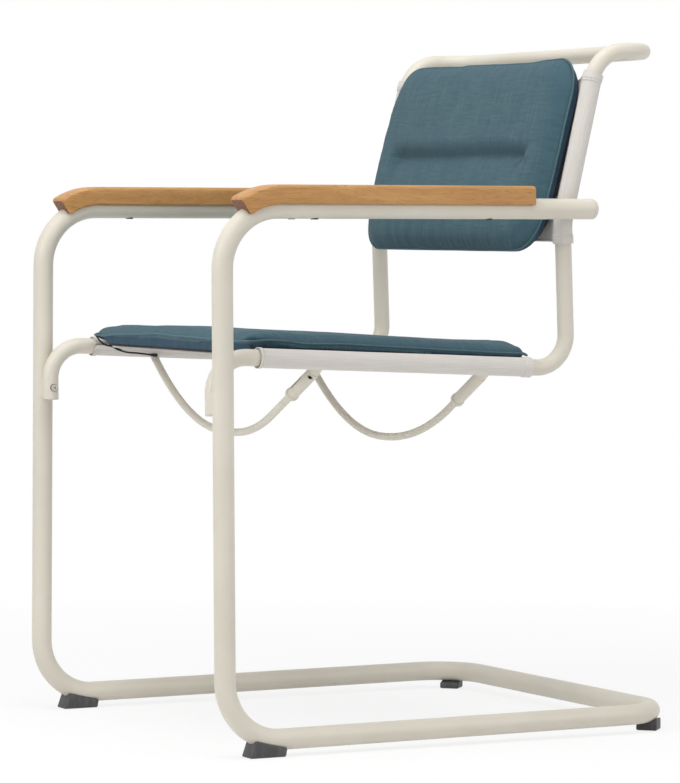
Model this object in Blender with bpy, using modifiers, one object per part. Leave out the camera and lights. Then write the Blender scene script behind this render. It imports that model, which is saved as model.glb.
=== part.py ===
"""Cantilever chair with a bent tube base, a slung seat and back, oak arm rests and two loose cushions.

Metres, +Z up. The front of the chair faces -Y and +X is the right side seen from the front.
The origin is on the floor, under the middle of the chair's outer box.
"""
import bpy
import bmesh
import math
from mathutils import Vector, Matrix

MM = 0.001
FIT_GAP = 0.3 * MM
CUT_OVERRUN = 4.0 * MM
WELD_DIST = 0.005 * MM

# Bending and facet settings
BEND_STEP = math.radians(18.0)
SMOOTH_ANGLE = math.radians(35.0)
TUBE_SIDE_RES = 5
STRUT_SIDE_RES = 3
STRAP_SIDE_RES = 2
ROUND_STEPS = 14
SCREW_SIDES = 10
HEX_SIDES = 6
ARC_STEPS = 3

# Base tube, one bent tube that makes both arms, uprights, floor rails and the rear bar
base_tube_d = 25.0 * MM
base_tube_wall = 1.6 * MM
floor_half_width = 265.8 * MM
arm_front_draw_in = 9.5 * MM
arm_rear_draw_in = 6.2 * MM
floor_tube_front_z = 19.0 * MM
floor_tube_rear_z = 22.5 * MM
upright_lean = 2.2 * MM
rear_bar_y = 608.5 * MM
arm_front_z = 638.9 * MM
arm_rise_to_rear = 1.1 * MM
arm_past_back = 27.0 * MM
arm_bend_r = 72.0 * MM
floor_bend_r = 70.5 * MM
rear_bend_r = 64.0 * MM

# Seat and back tube, one bent tube hung from the uprights and the arms
seat_tube_d = 20.0 * MM
seat_tube_wall = 1.5 * MM
tube_side_gap = 2.57 * MM
seat_foot_y = -1.3 * MM
seat_foot_drop = 68.5 * MM
seat_front_y = -2.7 * MM
seat_front_z = 466.5 * MM
seat_rear_y = 476.3 * MM
seat_fall_to_rear = 20.4 * MM
lumbar_set_forward = 7.0 * MM
lumbar_rise = 178.2 * MM
back_lean = 48.4 * MM
back_rise = 208.3 * MM
back_bar_depth = 84.3 * MM
back_bar_rise = 1.9 * MM
seat_front_bend_r = 41.0 * MM
seat_rear_bend_r = 39.5 * MM
lumbar_bend_r = 60.0 * MM
back_top_bend_r = 46.0 * MM
back_bar_bend_r = 46.0 * MM

# Plugs in the tube ends
arm_cap_dome = 6.8 * MM
arm_cap_round = 5.6 * MM
arm_cap_plug_length = 16.0 * MM
seat_plug_dome = 2.4 * MM
seat_plug_round = 1.8 * MM
seat_plug_length = 8.0 * MM

# Oak arm rests, swept along the arm tube and grooved over it
rest_width = 35.0 * MM
rest_top_over_axis = 28.4 * MM
rest_bottom_over_axis = 4.4 * MM
rest_top_round = 5.0 * MM
rest_bottom_round = 2.4 * MM
rest_end_round = 2.6 * MM
rest_rear_setback = 91.0 * MM
rest_front_wrap = 42.0 * MM
rest_screw_y_front = 118.0 * MM
rest_screw_y_rear = 352.0 * MM
rest_screw_bite = 9.0 * MM

# Screws
screw_shank_d = 5.0 * MM
screw_head_d = 9.4 * MM
screw_head_h = 3.0 * MM
screw_head_round = 1.4 * MM
hex_across = 3.6 * MM
hex_depth = 1.8 * MM
screw_tip_cone = 1.0 * MM
seat_screw_drop = 54.1 * MM
screw_reach_past_wall = 5.0 * MM

# Saddle washers between the seat tube's feet and the uprights
spacer_width = 15.0 * MM
spacer_height = 26.0 * MM
spacer_wrap_on_seat_tube = 6.5 * MM
spacer_wrap_on_upright = 5.5 * MM

# Feet
foot_width = 26.0 * MM
front_foot_front_y = 26.8 * MM
front_foot_length = 46.4 * MM
front_foot_top_front_y = 34.0 * MM
front_foot_top_rear_y = 75.0 * MM
front_foot_front_z = 21.5 * MM
front_foot_rear_z = 11.8 * MM
rear_foot_length = 25.0 * MM
rear_foot_inner_z = 8.0 * MM
rear_foot_outer_z = 14.5 * MM
foot_edge_round = 1.6 * MM
foot_peg_d = 6.0 * MM
foot_peg_rise = 7.0 * MM

# Sling fabrics
cloth_thick = 1.4 * MM
seat_cloth_front_y = 52.9 * MM
seat_mouth_slant = 14.0 * MM
seat_cloth_rear_setback = 59.3 * MM
seat_web_front_y = 61.5 * MM
seat_web_drop = 1.0 * MM
web_end_inset = 2.5 * MM
web_shoulder = 36.0 * MM
web_lift = 8.0 * MM
back_cloth_below_lumbar = 26.3 * MM
back_cloth_below_top = 26.6 * MM
back_web_inset = 8.0 * MM
back_web_setback = 1.0 * MM
hem_width = 11.0 * MM
hem_extra = 0.5 * MM
hem_roll_d = 3.2 * MM
hem_roll_clearance = 1.0 * MM

# Spreader struts under the seat
strut_rod_d = 9.4 * MM
strut_sleeve_d = 15.0 * MM
strut_sleeve_wall = 2.5 * MM
strut_collar_d = 19.4 * MM
strut_collar_width = 5.6 * MM
strut_collar_round = 1.2 * MM
strut_nut_d = 16.4 * MM
strut_nut_width = 3.2 * MM
strut_slot_width = 4.4 * MM
strut_slot_length = 23.0 * MM
strut_tongue_width = 12.0 * MM
strut_sleeve_start_inset = 76.2 * MM
strut_sleeve_end_inset = 19.7 * MM
strut_screw_inset = 29.0 * MM
strut_rod_reach = 12.0 * MM
strut_far_end_inset = 13.7 * MM
strut_rod_step = 16.0 * MM
front_strut_setback = 141.7 * MM
front_strut_low_x = -20.0 * MM
front_strut_low_drop = 95.97 * MM
front_strut_far_drop = 14.47 * MM
front_strut_sleeve_drop = 44.37 * MM
front_strut_near_drop = 15.47 * MM
front_strut_bend_r = 225.0 * MM
rear_strut_set_forward = 110.3 * MM
rear_strut_low_x = -30.0 * MM
rear_strut_low_drop = 98.0 * MM
rear_strut_far_drop = 20.3 * MM
rear_strut_sleeve_drop = 45.1 * MM
rear_strut_near_drop = 14.0 * MM
rear_strut_bend_r = 340.0 * MM
bracket_width = 17.0 * MM
bracket_pad_height = 15.0 * MM
bracket_pad_depth = 7.0 * MM
bracket_pad_wrap = 3.5 * MM
bracket_round = 1.6 * MM
bracket_boss_d = 13.4 * MM
bracket_boss_length = 9.0 * MM

# Seat cushion
seat_pad_front_y = 51.0 * MM
seat_pad_rear_set_forward = 46.3 * MM
seat_pad_side_inset = 13.7 * MM
seat_pad_seam_front_lift = 13.8 * MM
seat_pad_seam_rear_lift = 15.5 * MM
seat_pad_boxing = 16.0 * MM
seat_pad_crown = 15.0 * MM
seat_pad_belly = 12.0 * MM
seat_pad_corner_r = 30.0 * MM
seat_pad_side_draw = 3.0 * MM
pad_clearance = 0.4 * MM

# Back cushion
back_pad_below_lumbar = 36.3 * MM
back_pad_below_top = 5.1 * MM
back_pad_low_set_forward = 27.8 * MM
back_pad_high_set_forward = 13.7 * MM
back_pad_bow = 6.0 * MM
back_pad_side_inset = 13.7 * MM
back_pad_boxing = 17.0 * MM
back_pad_crown = 13.0 * MM
back_pad_belly = 10.0 * MM
back_pad_corner_r = 34.0 * MM
back_pad_side_draw = 3.0 * MM
back_tuft_above_lumbar = 82.7 * MM
back_tuft_end_inset = 69.0 * MM
back_tuft_depth = 7.0 * MM

# Cage of the cushions
PAD_CELLS_X = 10
PAD_CELLS_Y = 8
PAD_RISE_POWER = 2.6
SEAM_CREASE = 0.8

# Elastic straps from the seat cushion's front corners to the front strut
strap_d = 2.6 * MM
strap_inset = 9.0 * MM
strap_grip = 5.0 * MM

STRUT_LEFT_POWER = 2.05
PEG_PLACE_SHARE = 0.78
hem_roll_shares = ((0.0, 0.55), (0.25, 0.97), (0.6, 0.97))
ROLL_AXIS_SHARE = 0.4
web_edge_shares = ((0.0, 1.12), (0.31, 1.0), (0.52, 0.8), (0.76, 0.25), (1.0, 0.0))

SIDES = {"right": 1, "left": -1}
ACROSS = Vector((1.0, 0.0, 0.0))
REARWARD = Vector((0.0, 1.0, 0.0))
UP = Vector((0.0, 0.0, 1.0))

for old in list(bpy.data.objects):
    bpy.data.objects.remove(old, do_unlink=True)


def make_collection(name):
    col = bpy.data.collections.new(name)
    bpy.context.scene.collection.children.link(col)
    return col


PARTS = make_collection("cantilever_chair")
CUTTERS = make_collection("cutters")


def material(name, color, roughness, metallic=0.0):
    mat = bpy.data.materials.new(name)
    mat.use_nodes = True
    shader = mat.node_tree.nodes["Principled BSDF"]
    shader.inputs["Base Color"].default_value = (*color, 1.0)
    shader.inputs["Roughness"].default_value = roughness
    shader.inputs["Metallic"].default_value = metallic
    mat.diffuse_color = (*color, 1.0)
    return mat


PAINT = material("sand_powder_coat", (0.66, 0.62, 0.52), 0.42)
OAK = material("oiled_oak", (0.52, 0.30, 0.12), 0.45)
FOOT_PLASTIC = material("charcoal_plastic", (0.045, 0.043, 0.047), 0.55)
CAP_PLASTIC = material("sand_plastic", (0.64, 0.60, 0.51), 0.45)
MESH_CLOTH = material("mesh_cloth", (0.62, 0.57, 0.54), 0.8)
PAD_CLOTH = material("teal_weave", (0.085, 0.15, 0.19), 0.9)
ELASTIC = material("black_elastic", (0.02, 0.02, 0.022), 0.8)
ZINC = material("zinc_screw", (0.55, 0.54, 0.50), 0.35, 0.8)


def link(obj, mat, col=None):
    (col or PARTS).objects.link(obj)
    if mat:
        obj.data.materials.clear()
        obj.data.materials.append(mat)
    return obj


def smooth(obj):
    obj.data.shade_smooth()
    obj.data.set_sharp_from_angle(angle=SMOOTH_ANGLE)
    return obj


def cutter(obj):
    link(obj, None, CUTTERS)
    obj.hide_render = True
    obj.display_type = 'WIRE'
    return obj


# Paths

def fillet_path(corners, radii):
    """Straight runs between the corners, each inner corner rounded by an arc of its radius."""
    pts = [Vector(c) for c in corners]
    count = len(pts)
    tangents = [0.0] * count
    half = [0.0] * count
    for i in range(1, count - 1):
        a = (pts[i - 1] - pts[i]).normalized()
        b = (pts[i + 1] - pts[i]).normalized()
        half[i] = a.angle(b) / 2.0
        tangents[i] = radii[i - 1] / math.tan(half[i])
    share = [1.0] * count
    for i in range(count - 1):
        need = tangents[i] + tangents[i + 1]
        length = (pts[i + 1] - pts[i]).length
        if need > length:
            share[i] = min(share[i], length / need)
            share[i + 1] = min(share[i + 1], length / need)
    path = [pts[0]]
    for i in range(1, count - 1):
        a = (pts[i - 1] - pts[i]).normalized()
        b = (pts[i + 1] - pts[i]).normalized()
        reach = tangents[i] * share[i]
        radius = reach * math.tan(half[i])
        centre = pts[i] + (a + b).normalized() * (radius / math.sin(half[i]))
        start = pts[i] + a * reach - centre
        axis = start.cross(pts[i] + b * reach - centre).normalized()
        turn = math.pi - 2.0 * half[i]
        steps = max(1, math.ceil(turn / BEND_STEP))
        for k in range(steps + 1):
            point = centre + Matrix.Rotation(turn * k / steps, 3, axis) @ start
            if (point - path[-1]).length > WELD_DIST:
                path.append(point)
    if (pts[-1] - path[-1]).length > WELD_DIST:
        path.append(pts[-1])
    return path


def sub_path(path, start, end):
    """The stretch of a path between two arc lengths."""
    out = []
    run = 0.0
    for a, b in zip(path[:-1], path[1:]):
        length = (b - a).length
        low, high = max(start, run), min(end, run + length)
        if high - low > WELD_DIST:
            if not out:
                out.append(a.lerp(b, (low - run) / length))
            out.append(a.lerp(b, (high - run) / length))
        run += length
    return out


def path_length(path):
    return sum((b - a).length for a, b in zip(path[:-1], path[1:]))


def arc_length_at(path, axis, value):
    """Arc length where a path first reaches a coordinate value."""
    run = 0.0
    for a, b in zip(path[:-1], path[1:]):
        low, high = a[axis], b[axis]
        if min(low, high) <= value <= max(low, high) and low != high:
            return run + (b - a).length * (value - low) / (high - low)
        run += (b - a).length
    return run


def with_stations(line, lengths):
    """The same line with extra points at the given arc lengths."""
    out = [line[0]]
    run = 0.0
    for a, b in zip(line[:-1], line[1:]):
        length = (b - a).length
        for mark in sorted(lengths):
            if run + WELD_DIST < mark < run + length - WELD_DIST:
                out.append(a.lerp(b, (mark - run) / length))
        out.append(b)
        run += length
    return out


def lengthened(line, extra):
    """A line made longer at both ends."""
    first = line[0] + (line[0] - line[1]).normalized() * extra
    last = line[-1] + (line[-1] - line[-2]).normalized() * extra
    return [first] + list(line[1:-1]) + [last]


def mirrored(point, side):
    return Vector((point.x * side, point.y, point.z))


def flip_x(points, side):
    return [mirrored(p, side) for p in points]


# Shape makers

def curve_object(name, points, radius, res, caps, bevel=None, radii=None):
    data = bpy.data.curves.new(name, 'CURVE')
    data.dimensions = '3D'
    spline = data.splines.new('POLY')
    spline.points.add(len(points) - 1)
    for slot, p in zip(spline.points, points):
        slot.co = (p.x, p.y, p.z, 1.0)
    if radii:
        for slot, r in zip(spline.points, radii):
            slot.radius = r / radius
    if bevel:
        data.bevel_mode = 'OBJECT'
        data.bevel_object = bevel
        data.twist_mode = 'Z_UP'
    else:
        data.bevel_depth = radius
        data.bevel_resolution = res
    data.use_fill_caps = caps
    return bpy.data.objects.new(name, data)


def mesh_from_curve(curve, name):
    """Turns a curve object into a mesh object with welded caps, and removes the curve."""
    bpy.context.scene.collection.objects.link(curve)
    bpy.context.view_layer.update()
    graph = bpy.context.evaluated_depsgraph_get()
    mesh = bpy.data.meshes.new_from_object(curve.evaluated_get(graph))
    matrix = curve.matrix_world.copy()
    bpy.data.objects.remove(curve, do_unlink=True)
    bm = bmesh.new()
    bm.from_mesh(mesh)
    bmesh.ops.remove_doubles(bm, verts=bm.verts, dist=WELD_DIST)
    bmesh.ops.recalc_face_normals(bm, faces=bm.faces)
    bm.to_mesh(mesh)
    bm.free()
    obj = bpy.data.objects.new(name, mesh)
    obj.matrix_world = matrix
    return obj


def rod_mesh(name, points, radius, res=TUBE_SIDE_RES, radii=None):
    return mesh_from_curve(curve_object(name + "_curve", points, radius, res, True, None, radii), name)


def tube_shell(name, points, outer_d, wall, mat):
    """A bent tube with open ends and a wall of its own."""
    obj = mesh_from_curve(curve_object(name + "_curve", points, outer_d / 2.0, TUBE_SIDE_RES, False), name)
    link(obj, mat)
    shell = obj.modifiers.new("wall", 'SOLIDIFY')
    shell.thickness = wall
    shell.offset = -1.0
    shell.use_even_offset = True
    shell.use_rim = True
    return smooth(obj)


def boolean(obj, other, operation='DIFFERENCE'):
    mod = obj.modifiers.new(operation.lower() + "_" + other.name, 'BOOLEAN')
    mod.operation = operation
    mod.object = other
    mod.solver = 'EXACT'
    return obj


def axis_matrix(origin, direction):
    return Matrix.Translation(origin) @ Vector(direction).to_track_quat('Z', 'Y').to_matrix().to_4x4()


def frame_matrix(origin, along):
    """Local Z runs along the given direction and local Y stays with the chair's."""
    return Matrix.Translation(origin) @ Matrix((REARWARD.cross(along), REARWARD, along)).transposed().to_4x4()


def cylinder_mesh(name, origin, direction, radius, length, sides=SCREW_SIDES):
    """A cylinder that starts at origin and runs along direction."""
    mesh = bpy.data.meshes.new(name)
    bm = bmesh.new()
    bmesh.ops.create_cone(bm, cap_ends=True, segments=sides, radius1=radius, radius2=radius, depth=length)
    bmesh.ops.translate(bm, verts=bm.verts, vec=(0.0, 0.0, length / 2.0))
    bm.transform(axis_matrix(origin, direction))
    bm.to_mesh(mesh)
    bm.free()
    return bpy.data.objects.new(name, mesh)


def box_mesh(name, low, high):
    """A box between two corners, given in either order."""
    mesh = bpy.data.meshes.new(name)
    bm = bmesh.new()
    bmesh.ops.create_cube(bm, size=1.0)
    size = Vector([abs(b - a) for a, b in zip(low, high)])
    bmesh.ops.scale(bm, verts=bm.verts, vec=size)
    bmesh.ops.translate(bm, verts=bm.verts, vec=(Vector(high) + Vector(low)) / 2.0)
    bm.to_mesh(mesh)
    bm.free()
    return bpy.data.objects.new(name, mesh)


def turned(name, profile, origin, direction, mat, steps=ROUND_STEPS):
    """A profile of (radius, height) points, top to bottom, turned about the given axis."""
    mesh = bpy.data.meshes.new(name)
    mesh.from_pydata([(r, 0.0, z) for r, z in profile], [(i, i + 1) for i in range(len(profile) - 1)], [])
    obj = bpy.data.objects.new(name, mesh)
    obj.matrix_world = axis_matrix(origin, direction)
    link(obj, mat)
    spin = obj.modifiers.new("turn", 'SCREW')
    spin.steps = steps
    spin.render_steps = steps
    spin.use_merge_vertices = True
    spin.merge_threshold = WELD_DIST
    spin.use_smooth_shade = True
    return obj


def arc_profile(centre_r, centre_z, radius):
    """A quarter round of a turned profile, from its top to its outer side."""
    turns = [math.pi / 2.0 * (1.0 - k / ARC_STEPS) for k in range(ARC_STEPS + 1)]
    return [(centre_r + radius * math.cos(a), centre_z + radius * math.sin(a)) for a in turns]


def screw(name, seat, direction, length):
    """A round head screw: its head's underside lies at seat and its shank runs along direction."""
    shank_r = screw_shank_d / 2.0
    head_r = screw_head_d / 2.0
    profile = [(0.0, screw_head_h)]
    profile += arc_profile(head_r - screw_head_round, screw_head_h - screw_head_round, screw_head_round)
    profile += [(head_r, 0.0), (shank_r, 0.0), (shank_r, -length + screw_tip_cone),
                (shank_r - screw_tip_cone, -length), (0.0, -length)]
    obj = turned(name, profile, seat, -direction, ZINC, SCREW_SIDES)
    top = seat - direction * (screw_head_h + CUT_OVERRUN)
    socket = cylinder_mesh(name + "_socket", top, direction, hex_across / 2.0 / math.cos(math.pi / HEX_SIDES),
                           hex_depth + CUT_OVERRUN, HEX_SIDES)
    return boolean(obj, cutter(socket))


def drill(targets, name, origin, direction, length, radius):
    hole = cutter(cylinder_mesh(name, origin, direction, radius, length))
    for target in targets:
        boolean(target, hole)


# Places that follow from the sizes above

base_r = base_tube_d / 2.0
seat_r = seat_tube_d / 2.0
cloth_r = seat_r + FIT_GAP + cloth_thick
arm_front_half_width = floor_half_width - arm_front_draw_in
arm_rear_half_width = floor_half_width - arm_rear_draw_in
arm_rear_z = arm_front_z + arm_rise_to_rear
seat_foot_z = seat_front_z - seat_foot_drop
seat_screw_z = seat_front_z - seat_screw_drop
seat_rear_z = seat_front_z - seat_fall_to_rear
lumbar_y = seat_rear_y - lumbar_set_forward
lumbar_z = seat_rear_z + lumbar_rise
back_top_y = lumbar_y + back_lean
back_top_z = lumbar_z + back_rise
back_bar_y = back_top_y + back_bar_depth
back_bar_z = back_top_z + back_bar_rise
back_cloth_low_z = lumbar_z - back_cloth_below_lumbar
back_cloth_high_z = back_top_z - back_cloth_below_top
seat_cloth_rear_y = seat_rear_y - seat_cloth_rear_setback
seat_pad_rear_y = seat_rear_y - seat_pad_rear_set_forward
seat_pad_seam_front_z = seat_front_z + seat_pad_seam_front_lift
seat_pad_seam_rear_z = seat_rear_z + seat_pad_seam_rear_lift
back_pad_low_z = lumbar_z - back_pad_below_lumbar
back_pad_high_z = back_top_z - back_pad_below_top
back_pad_low_y = lumbar_y - back_pad_low_set_forward
back_pad_high_y = back_top_y - back_pad_high_set_forward
back_tuft_z = lumbar_z + back_tuft_above_lumbar
front_strut_y = seat_front_y + front_strut_setback
rear_strut_y = seat_rear_y - rear_strut_set_forward


def rail_z(y):
    """Height of the seat rail's axis at a distance y behind the front uprights."""
    share = (y - seat_front_y) / (seat_rear_y - seat_front_y)
    return seat_front_z + (seat_rear_z - seat_front_z) * share


def upright_x(z):
    """Half distance between the uprights' axes at a height."""
    share = (z - floor_tube_front_z) / (arm_front_z - floor_tube_front_z)
    return floor_half_width + (arm_front_half_width - floor_half_width) * share


def back_y(z):
    """Axis of the leaning back uprights at a height."""
    share = (z - lumbar_z) / (back_top_z - lumbar_z)
    return lumbar_y + (back_top_y - lumbar_y) * share


arm_rear_y = back_y(arm_rear_z) + arm_past_back
seat_half_width = upright_x(seat_screw_z) - base_r - tube_side_gap - seat_r
strut_sleeve_start_x = seat_half_width - strut_sleeve_start_inset
strut_sleeve_end_x = seat_half_width - strut_sleeve_end_inset
strut_screw_x = seat_half_width - strut_screw_inset
strut_far_end_x = seat_half_width - strut_far_end_inset
seat_pad_half_width = seat_half_width - seat_pad_side_inset
back_pad_half_width = seat_half_width - back_pad_side_inset
back_tuft_half_width = back_pad_half_width - back_tuft_end_inset


# Paths of the two bent tubes

upright_lean_share = arm_bend_r / (arm_front_z - floor_tube_front_z)
ORIGIN_Y = (rear_bar_y - upright_lean * (1.0 - upright_lean_share)) / 2.0


def at(x, y, z):
    """A point whose y is given from the front uprights' feet, in the chair's frame."""
    return Vector((x, y - ORIGIN_Y, z))


base_side = [at(arm_rear_half_width, arm_rear_y, arm_rear_z),
             at(arm_front_half_width, -upright_lean, arm_front_z),
             at(floor_half_width, 0.0, floor_tube_front_z),
             at(floor_half_width, rear_bar_y, floor_tube_rear_z)]
base_radii = [arm_bend_r, floor_bend_r, rear_bend_r]
base_path = fillet_path(base_side + flip_x(base_side, -1)[::-1], base_radii + base_radii[::-1])

seat_side = [at(seat_half_width, seat_foot_y, seat_foot_z),
             at(seat_half_width, seat_front_y, seat_front_z),
             at(seat_half_width, seat_rear_y, seat_rear_z),
             at(seat_half_width, lumbar_y, lumbar_z),
             at(seat_half_width, back_top_y, back_top_z),
             at(seat_half_width, back_bar_y, back_bar_z)]
seat_radii = [seat_front_bend_r, seat_rear_bend_r, lumbar_bend_r, back_top_bend_r, back_bar_bend_r]
seat_path = fillet_path(seat_side + flip_x(seat_side, -1)[::-1], seat_radii + seat_radii[::-1])
half_seat = [p for p in seat_path if p.x > 0.0]
half_base = [p for p in base_path if p.x > 0.0]


def arm_point(y):
    """Axis of the right arm tube at a distance y behind the front uprights."""
    share = (y + upright_lean) / (arm_rear_y + upright_lean)
    return at(arm_front_half_width + (arm_rear_half_width - arm_front_half_width) * share, y,
              arm_front_z + (arm_rear_z - arm_front_z) * share)


# Frames

base_frame = tube_shell("base_frame", base_path, base_tube_d, base_tube_wall, PAINT)
seat_back_frame = tube_shell("seat_back_frame", seat_path, seat_tube_d, seat_tube_wall, PAINT)

base_envelope = cutter(rod_mesh("base_envelope", base_path, base_r + FIT_GAP))
seat_envelope = cutter(rod_mesh("seat_envelope", seat_path, seat_r + FIT_GAP))


# Plugs in the tube ends

def domed_plug(name, end, inward, outer_r, bore_r, dome, rounding, length, mat):
    profile = [(0.0, dome)] + arc_profile(outer_r - rounding, dome - rounding, rounding)
    profile += [(outer_r, FIT_GAP), (bore_r, FIT_GAP), (bore_r, -length), (0.0, -length)]
    return turned(name, profile, end, -inward, mat)


for side_name, side in SIDES.items():
    arm_end, arm_next = mirrored(base_path[0], side), mirrored(base_path[1], side)
    domed_plug("arm_cap_" + side_name, arm_end, (arm_next - arm_end).normalized(), base_r,
               base_r - base_tube_wall - FIT_GAP, arm_cap_dome, arm_cap_round, arm_cap_plug_length, CAP_PLASTIC)
    seat_end, seat_next = mirrored(seat_path[0], side), mirrored(seat_path[1], side)
    domed_plug("seat_plug_" + side_name, seat_end, (seat_next - seat_end).normalized(), seat_r - FIT_GAP,
               seat_r - seat_tube_wall - FIT_GAP, seat_plug_dome, seat_plug_round, seat_plug_length, CAP_PLASTIC)


# Arm rests

def rounded_section(width, low, high, low_r, high_r):
    """Closed outline of the arm rest's section, x across and y up from the tube's axis."""
    half = width / 2.0
    corners = ((half - high_r, high - high_r, high_r), (-half + high_r, high - high_r, high_r),
               (-half + low_r, low + low_r, low_r), (half - low_r, low + low_r, low_r))
    out = []
    for quarter, (cx, cy, r) in enumerate(corners):
        for k in range(ARC_STEPS + 1):
            a = math.pi / 2.0 * (quarter + k / ARC_STEPS)
            out.append((cx + r * math.cos(a), cy + r * math.sin(a)))
    return out


def outline_curve(name, points):
    data = bpy.data.curves.new(name, 'CURVE')
    data.dimensions = '2D'
    spline = data.splines.new('POLY')
    spline.points.add(len(points) - 1)
    for slot, (x, y) in zip(spline.points, points):
        slot.co = (x, y, 0.0, 1.0)
    spline.use_cyclic_u = True
    return bpy.data.objects.new(name, data)


section = cutter(outline_curve("arm_rest_section", rounded_section(
    rest_width, rest_bottom_over_axis, rest_top_over_axis, rest_bottom_round, rest_top_round)))

arm_straight = (base_side[1] - base_side[0]).length - arm_bend_r
rest_path = sub_path(half_base, rest_rear_setback, arm_straight + rest_front_wrap)

for side_name, side in SIDES.items():
    sweep = curve_object("arm_rest_sweep", flip_x(rest_path, side), 0.0, 0, True, section)
    rest = mesh_from_curve(sweep, "armrest_" + side_name)
    bm = bmesh.new()
    bm.from_mesh(rest.data)
    rims = list({e for f in bm.faces if len(f.verts) > HEX_SIDES for e in f.edges})
    bmesh.ops.bevel(bm, geom=rims, offset=rest_end_round, segments=2, profile=0.5, affect='EDGES')
    bm.to_mesh(rest.data)
    bm.free()
    link(rest, OAK)
    boolean(rest, base_envelope)
    smooth(rest)
    for spot, y in (("front", rest_screw_y_front), ("rear", rest_screw_y_rear)):
        axis = mirrored(arm_point(y), side)
        reach = rest_bottom_over_axis + rest_screw_bite + base_r + FIT_GAP
        screw("armrest_screw_" + spot + "_" + side_name, axis - UP * (base_r + FIT_GAP), UP, reach)
        drill([base_frame, rest], "armrest_hole_" + spot + "_" + side_name, axis - UP * (base_r + CUT_OVERRUN), UP,
              reach + CUT_OVERRUN + FIT_GAP, screw_shank_d / 2.0 + FIT_GAP)


# Feet

def foot_block(name, place, length, tops):
    """A foot block whose top corners are given as (x, y, z), its edges rounded, cut to cup the tube."""
    half = foot_width / 2.0
    low, high = length
    obj = box_mesh(name, (-half, low, 0.0), (half, high, foot_edge_round))
    upper = [v for v in obj.data.vertices if v.co.z > 0.0]
    for v in upper:
        shift_y, z = tops[v.co.x > 0.0, v.co.y > (low + high) / 2.0]
        v.co.y, v.co.z = shift_y, z
    obj.matrix_world = place
    link(obj, FOOT_PLASTIC)
    edge = obj.modifiers.new("edges", 'BEVEL')
    edge.width = foot_edge_round
    edge.segments = 2
    edge.limit_method = 'ANGLE'
    return boolean(obj, base_envelope)


def add_peg(foot, x, y, tube_z):
    """A round peg that joins the foot and stands up into a hole in the tube's underside."""
    underside = tube_z - base_r
    start = Vector((x, y, underside / 2.0))
    top = underside + foot_peg_rise
    peg = cutter(cylinder_mesh(foot.name + "_peg", start, UP, foot_peg_d / 2.0, top - start.z))
    boolean(foot, peg, 'UNION')
    drill([base_frame], foot.name + "_hole", start, UP, top + CUT_OVERRUN - start.z, foot_peg_d / 2.0 + FIT_GAP)


for side_name, side in SIDES.items():
    tops = {(right, rear): ((front_foot_top_rear_y, front_foot_rear_z) if rear
                            else (front_foot_top_front_y, front_foot_front_z))
            for right in (False, True) for rear in (False, True)}
    foot = foot_block("front_foot_" + side_name, Matrix.Translation(at(floor_half_width * side, 0.0, 0.0)),
                      (front_foot_front_y, front_foot_front_y + front_foot_length), tops)
    peg_at = at(floor_half_width * side, front_foot_front_y + front_foot_length * PEG_PLACE_SHARE, 0.0)
    add_peg(foot, peg_at.x, peg_at.y, floor_tube_front_z)

    corner = at(floor_half_width - rear_bend_r, rear_bar_y - rear_bend_r, 0.0)
    centre = mirrored(corner + Vector((1.0, 1.0, 0.0)).normalized() * rear_bend_r, side)
    half = rear_foot_length / 2.0
    tops = {(right, rear): (half if rear else -half, rear_foot_outer_z if right == (side > 0) else rear_foot_inner_z)
            for right in (False, True) for rear in (False, True)}
    turn = Matrix.Rotation(math.radians(45.0) * side, 4, 'Z')
    foot = foot_block("rear_foot_" + side_name, Matrix.Translation(centre) @ turn, (-half, half), tops)
    add_peg(foot, centre.x, centre.y, floor_tube_rear_z)


# Fixings of the seat tube's feet to the uprights

for side_name, side in SIDES.items():
    outward = ACROSS * side
    post_x = upright_x(seat_screw_z)
    low = at(seat_half_width + seat_r - spacer_wrap_on_seat_tube, seat_foot_y - spacer_width / 2.0,
             seat_screw_z - spacer_height / 2.0)
    high = at(post_x - base_r + spacer_wrap_on_upright, seat_foot_y + spacer_width / 2.0,
              seat_screw_z + spacer_height / 2.0)
    spacer = link(box_mesh("seat_spacer_" + side_name, mirrored(low, side), mirrored(high, side)), PAINT)
    boolean(spacer, base_envelope)
    boolean(spacer, seat_envelope)

    head = mirrored(at(seat_half_width - seat_r - FIT_GAP, seat_foot_y, seat_screw_z), side)
    reach = post_x - base_r + base_tube_wall + screw_reach_past_wall - (seat_half_width - seat_r)
    screw("seat_screw_" + side_name, head, outward, reach)
    drill([seat_back_frame, base_frame, spacer], "seat_screw_hole_" + side_name, head - outward * CUT_OVERRUN,
          outward, reach + CUT_OVERRUN + FIT_GAP, screw_shank_d / 2.0 + FIT_GAP)


# Sling fabrics

def web_normal(line, k):
    """Square to a web at one of its rows, towards the sitter."""
    before, after = line[max(k - 1, 0)], line[min(k + 1, len(line) - 1)]
    return ACROSS.cross((after - before).normalized()).normalized()


def web_grid(line, shift):
    """Rows of points of a web hung between two rails: it leaves each rail high and drops to its flat middle."""
    half = [(seat_half_width - web_shoulder * inset, web_lift * rise) for inset, rise in web_edge_shares]
    columns = [(-x, rise) for x, rise in half] + half[::-1]
    return [[Vector((x, p.y, p.z)) + web_normal(line, k) * (shift + rise) for x, rise in columns]
            for k, p in enumerate(line)]


def grid_faces(bm, verts):
    for lower, upper in zip(verts[:-1], verts[1:]):
        for i in range(len(lower) - 1):
            bm.faces.new((lower[i], lower[i + 1], upper[i + 1], upper[i]))


def hem_radii(line, hems):
    """Radius of a sleeve at each of its points, thicker where a hem is turned in."""
    out = []
    run = 0.0
    for k, p in enumerate(line):
        run += (p - line[k - 1]).length if k else 0.0
        in_hem = any(a - WELD_DIST <= run <= b + WELD_DIST for a, b in hems)
        out.append(cloth_r + hem_extra if in_hem else cloth_r)
    return out


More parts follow.
